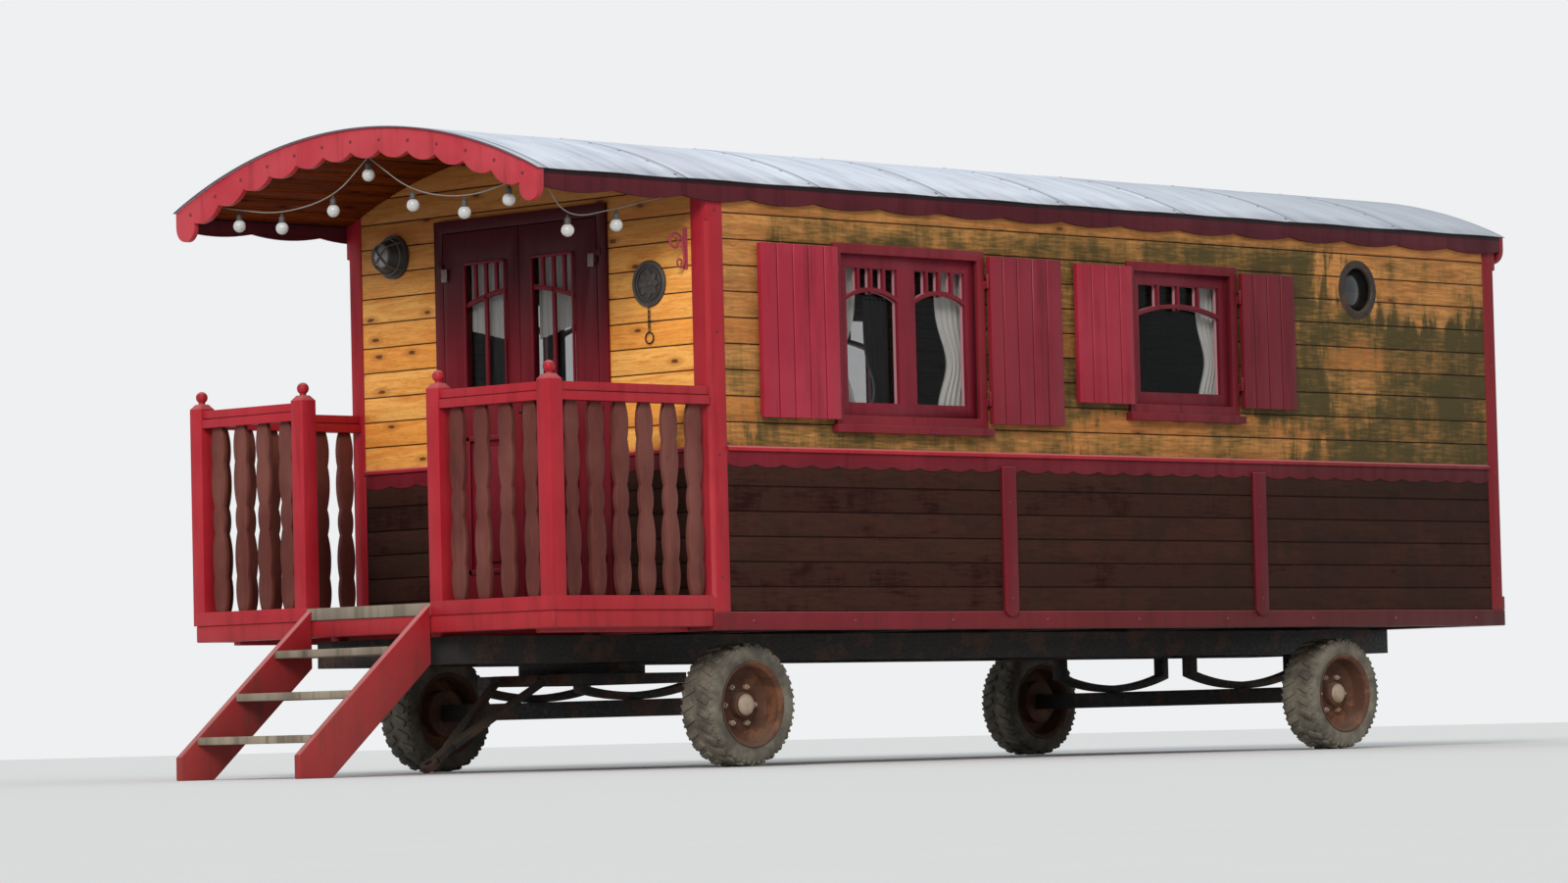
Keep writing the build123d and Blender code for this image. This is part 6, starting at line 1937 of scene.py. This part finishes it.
def curtain(
    name,
    hook,
    across,
    out,
    width,
    drop,
    body,
    pleats=6,
    depth=0.010,
    tied=0.35,
    hem=0.0,
):
    """Cloth from a hook point, along `across`, with pleats along `out`; its far side is free.

    `tied` is how far the band narrows it, and `hem` how much shorter its far side hangs."""
    across, out = Vector(across), Vector(out)
    columns = COLUMNS_PER_PLEAT * pleats
    grid = []
    for i in range(ROWS + 1):
        v = i / ROWS
        waist = 1 - tied * exp(-(((v - WAIST_AT) / WAIST_WIDE) ** 2))
        line = []
        for j in range(columns + 1):
            u = j / columns
            swing = depth * sin(2 * pi * pleats * u) * (0.75 + 0.25 * v) / max(waist, 0.5)
            fall = Vector((0, 0, v * (drop - hem * u)))
            line.append(Vector(hook) + across * (u * width * waist) + out * swing - fall)
        grid.append(line)
    corners = []
    for offset in (-CLOTH_T / 2, CLOTH_T / 2):
        for line in grid:
            for j, point in enumerate(line):
                tangent = line[min(j + 1, columns)] - line[max(j - 1, 0)]
                normal = tangent.cross(Vector((0, 0, 1))).normalized()
                corners.append(point + normal * offset)
    mesh = double_sheet(corners, ROWS, columns, 60)
    area = sum(face.area for face in mesh.polygons) / 2
    thing = piece(name, mesh, cloth.material, body)
    return area


def curtain_rod(name, start, end, wall, body):
    """A thin rod with round ends on two brackets that reach back to the wall."""
    start, end, wall = Vector(start), Vector(end), Vector(wall)
    run = (end - start).normalized()
    parts = [rod([start, end], ROD_R)]
    for place, outwards in ((start, -run), (end, run)):
        parts.append(turned(KNOB, place, outwards, 16))
        grip = place - outwards * 0.012
        parts.append(rod([grip, grip + wall], BRACKET_R))
    return piece(name, joined(parts), bolt_metal, body)


print("cloth", CLOTH_T, "m thick,", ROWS, "rows")

# %% [markdown]
# Now they are hung. The cloth starts on top of its rod, so that it rests there, and it stops a
# little under the sill. The curtains of the door leaves are fixed to the leaves and swing with
# them; they have no band, and their hem rises towards the hinge.

# %% Hanging the curtains
FROM_WALL, BRACKET = 0.022, 0.0215
ROD_PAST, HOOK_IN, OVER_ROD, UNDER_SILL = 0.02, 0.03, 0.012, 0.02
HEAD_Z = WINDOWS[0]["high"] + 0.004
HOOK_Z = HEAD_Z + OVER_ROD
yards = []
for side, out in SIDES.items():
    y = out * (WALL_IN - FROM_WALL)
    for number, window in enumerate(WINDOWS, 1):
        rod_name = f"curtain_rod_{side}_{number}"
        reach = window["half"] + ROD_PAST
        start, end = (window["x"] - reach, y, HEAD_Z), (window["x"] + reach, y, HEAD_Z)
        curtain_rod(rod_name, start, end, (0, out * BRACKET, 0), "wagon")
        drop = HOOK_Z - window["low"] + UNDER_SILL
        for place, way in (("front", -1), ("rear", 1))[number - 1 :]:
            yards.append(
                curtain(
                    f"curtain_{side}_{number}_{place}",
                    hook=(window["x"] + way * (reach - HOOK_IN), y, HOOK_Z),
                    across=(-way, 0, 0),
                    out=(0, out, 0),
                    width=0.235 if number == 1 else 0.19,
                    drop=drop,
                    body="wagon",
                )
            )

x, reach = REAR_IN - FROM_WALL, WINDOWS[1]["half"] + ROD_PAST
curtain_rod("curtain_rod_rear", (x, -reach, HEAD_Z), (x, reach, HEAD_Z), (BRACKET, 0, 0), "wagon")
for place, way in SIDES.items():
    yards.append(
        curtain(
            f"curtain_rear_{place}",
            hook=(x, way * (reach - HOOK_IN), HOOK_Z),
            across=(0, -way, 0),
            out=(1, 0, 0),
            width=0.21,
            drop=HOOK_Z - WINDOWS[1]["low"] + UNDER_SILL,
            body="wagon",
        )
    )
for side, out in SIDES.items():
    body, rod_name = f"door_{side}", f"curtain_rod_door_{side}"
    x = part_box(body)[1].x + 0.012
    glass_low, glass_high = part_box(f"{body}_glass")
    inner, outer = between_sides(out, glass_low.y, glass_high.y)
    z = glass_high.z + 0.010
    start, end = (x, out * (inner - 0.016), z), (x, out * (outer + 0.016), z)
    curtain_rod(rod_name, start, end, (-0.0115, 0, 0), body)
    yards.append(
        curtain(
            f"curtain_door_{side}",
            hook=(x, out * (inner - 0.006), z + 0.008),
            across=(0, out, 0),
            out=(1, 0, 0),
            width=outer - inner + 0.012,
            drop=0.41,
            body=body,
            pleats=8,
            depth=0.006,
            tied=0.0,
            hem=0.07,
        )
    )
print("curtains:", len(yards), "cloth", round(sum(yards), 2), "square metres")

# %% [markdown]
# The bulbs. The model has a socket and globe in one solid for each; here the places are read
# from those solids, and each gets a ribbed black socket and a frosted globe. Both are profiles
# turned about the upright line through the bulb. The one low solid is the end of the cable.

# %% Bulbs
BULB_H = 0.06
GLOBE_R, GLOBE_UP, GLOBE_MOUTH, GLOBE_STEPS = 0.0298, 0.030, -0.0445, 14
GLOBE_FROM, GLOBE_SWEEP = 60, 150
SOCKET = [
    (0, 0),
    (0.0025, 0),
    (0.0035, -0.010),
    (0.0120, -0.018),
    (0.0145, -0.022),
    (0.0138, -0.026),
    (0.0148, -0.030),
    (0.0138, -0.034),
    (0.0150, -0.038),
    (0.0150, -0.047),
    (0.0115, -0.047),
    (0, -0.047),
]
END_CAP = [(0, -0.006), (0.0045, -0.005), (0.0055, 0.002), (0.0058, 0.018), (0.0045, 0.026)]


def shells_of(node):
    """The lowest and highest corner of each solid of a model piece, in the order of place."""
    bm = bmesh.new()
    bm.from_mesh(model_copy(node))
    left, boxes = set(bm.verts), []
    while left:
        reach, seen = [left.pop()], []
        while reach:
            corner = reach.pop()
            seen.append(corner.co.copy())
            for edge in corner.link_edges:
                other = edge.other_vert(corner)
                if other in left:
                    left.discard(other)
                    reach.append(other)
        boxes.append([Vector([pick(axis) for axis in zip(*seen)]) for pick in (min, max)])
    bm.free()
    return sorted(boxes, key=lambda box: tuple(box[0]))


sockets, globes = [], []
for low, high in shells_of("light_bulbs"):
    if high.z - low.z < BULB_H:
        end_x = (low.x + high.x) / 2
        continue
    top = Vector(((low.x + high.x) / 2, (low.y + high.y) / 2, high.z))
    sockets.append(turned(SOCKET, top, sides=24))
    centre = low.z + GLOBE_UP - top.z
    globe = [(0, GLOBE_MOUTH), (0.0110, GLOBE_MOUTH)]
    for step in range(1, GLOBE_STEPS):
        angle = radians(GLOBE_FROM - step * GLOBE_SWEEP / GLOBE_STEPS)
        globe.append((GLOBE_R * cos(angle), centre + GLOBE_R * sin(angle)))
    globe.append((0, centre - GLOBE_R))
    globes.append(turned(globe, top, sides=24))
piece("bulb_sockets", joined(sockets), socket_black)
piece("bulb_globes", joined(globes), globe_glass)
cap_axis = Vector((0, 0.038, -0.016)).normalized()
cap = turned([*END_CAP, (0, 0.0275)], Vector((end_x, 1.128, 2.690)), cap_axis, 20)
end_cap = piece("cable_end_cap", cap, socket_black)
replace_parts(end_cap, "light_bulbs")
print("bulbs:", len(globes))

# %% [markdown]
# Where the cable goes into the front wall it passes through a short rubber boot, thick at the
# wall and tapered to the cable, so that the cable doesn't kink there. It is a profile turned
# about the line on which the cable leaves the wall.

# %% Cable boot
BOOT = [
    (0, -0.0135),
    (0.0128, -0.0135),
    (0.0128, -0.0030),
    (0.0108, -0.0012),
    (0.0078, 0.0004),
    (0.0070, 0.0080),
    (0.0058, 0.0082),
    (0.0056, 0.0160),
    (0.0046, 0.0162),
    (0.0044, 0.0230),
    (0.0038, 0.0250),
    (0, 0.0252),
]
first, second = (Vector(point) / MM_PER_M for point in CABLE_POINTS[:2])
boot = turned(BOOT, Vector((FRONT, 0, 0)) + first, (second - first).normalized(), 24)
piece("cable_boot", smooth_by_angle(boot), socket_black)
print("boot", round(BOOT[-1][1] - BOOT[0][1], 4), "m long")

# %% [markdown]
# Last, the pieces made here are counted.

# %% Counting the pieces
print("pieces:", len(made))

# %% [markdown]
# Nothing added here may stand out past the model.
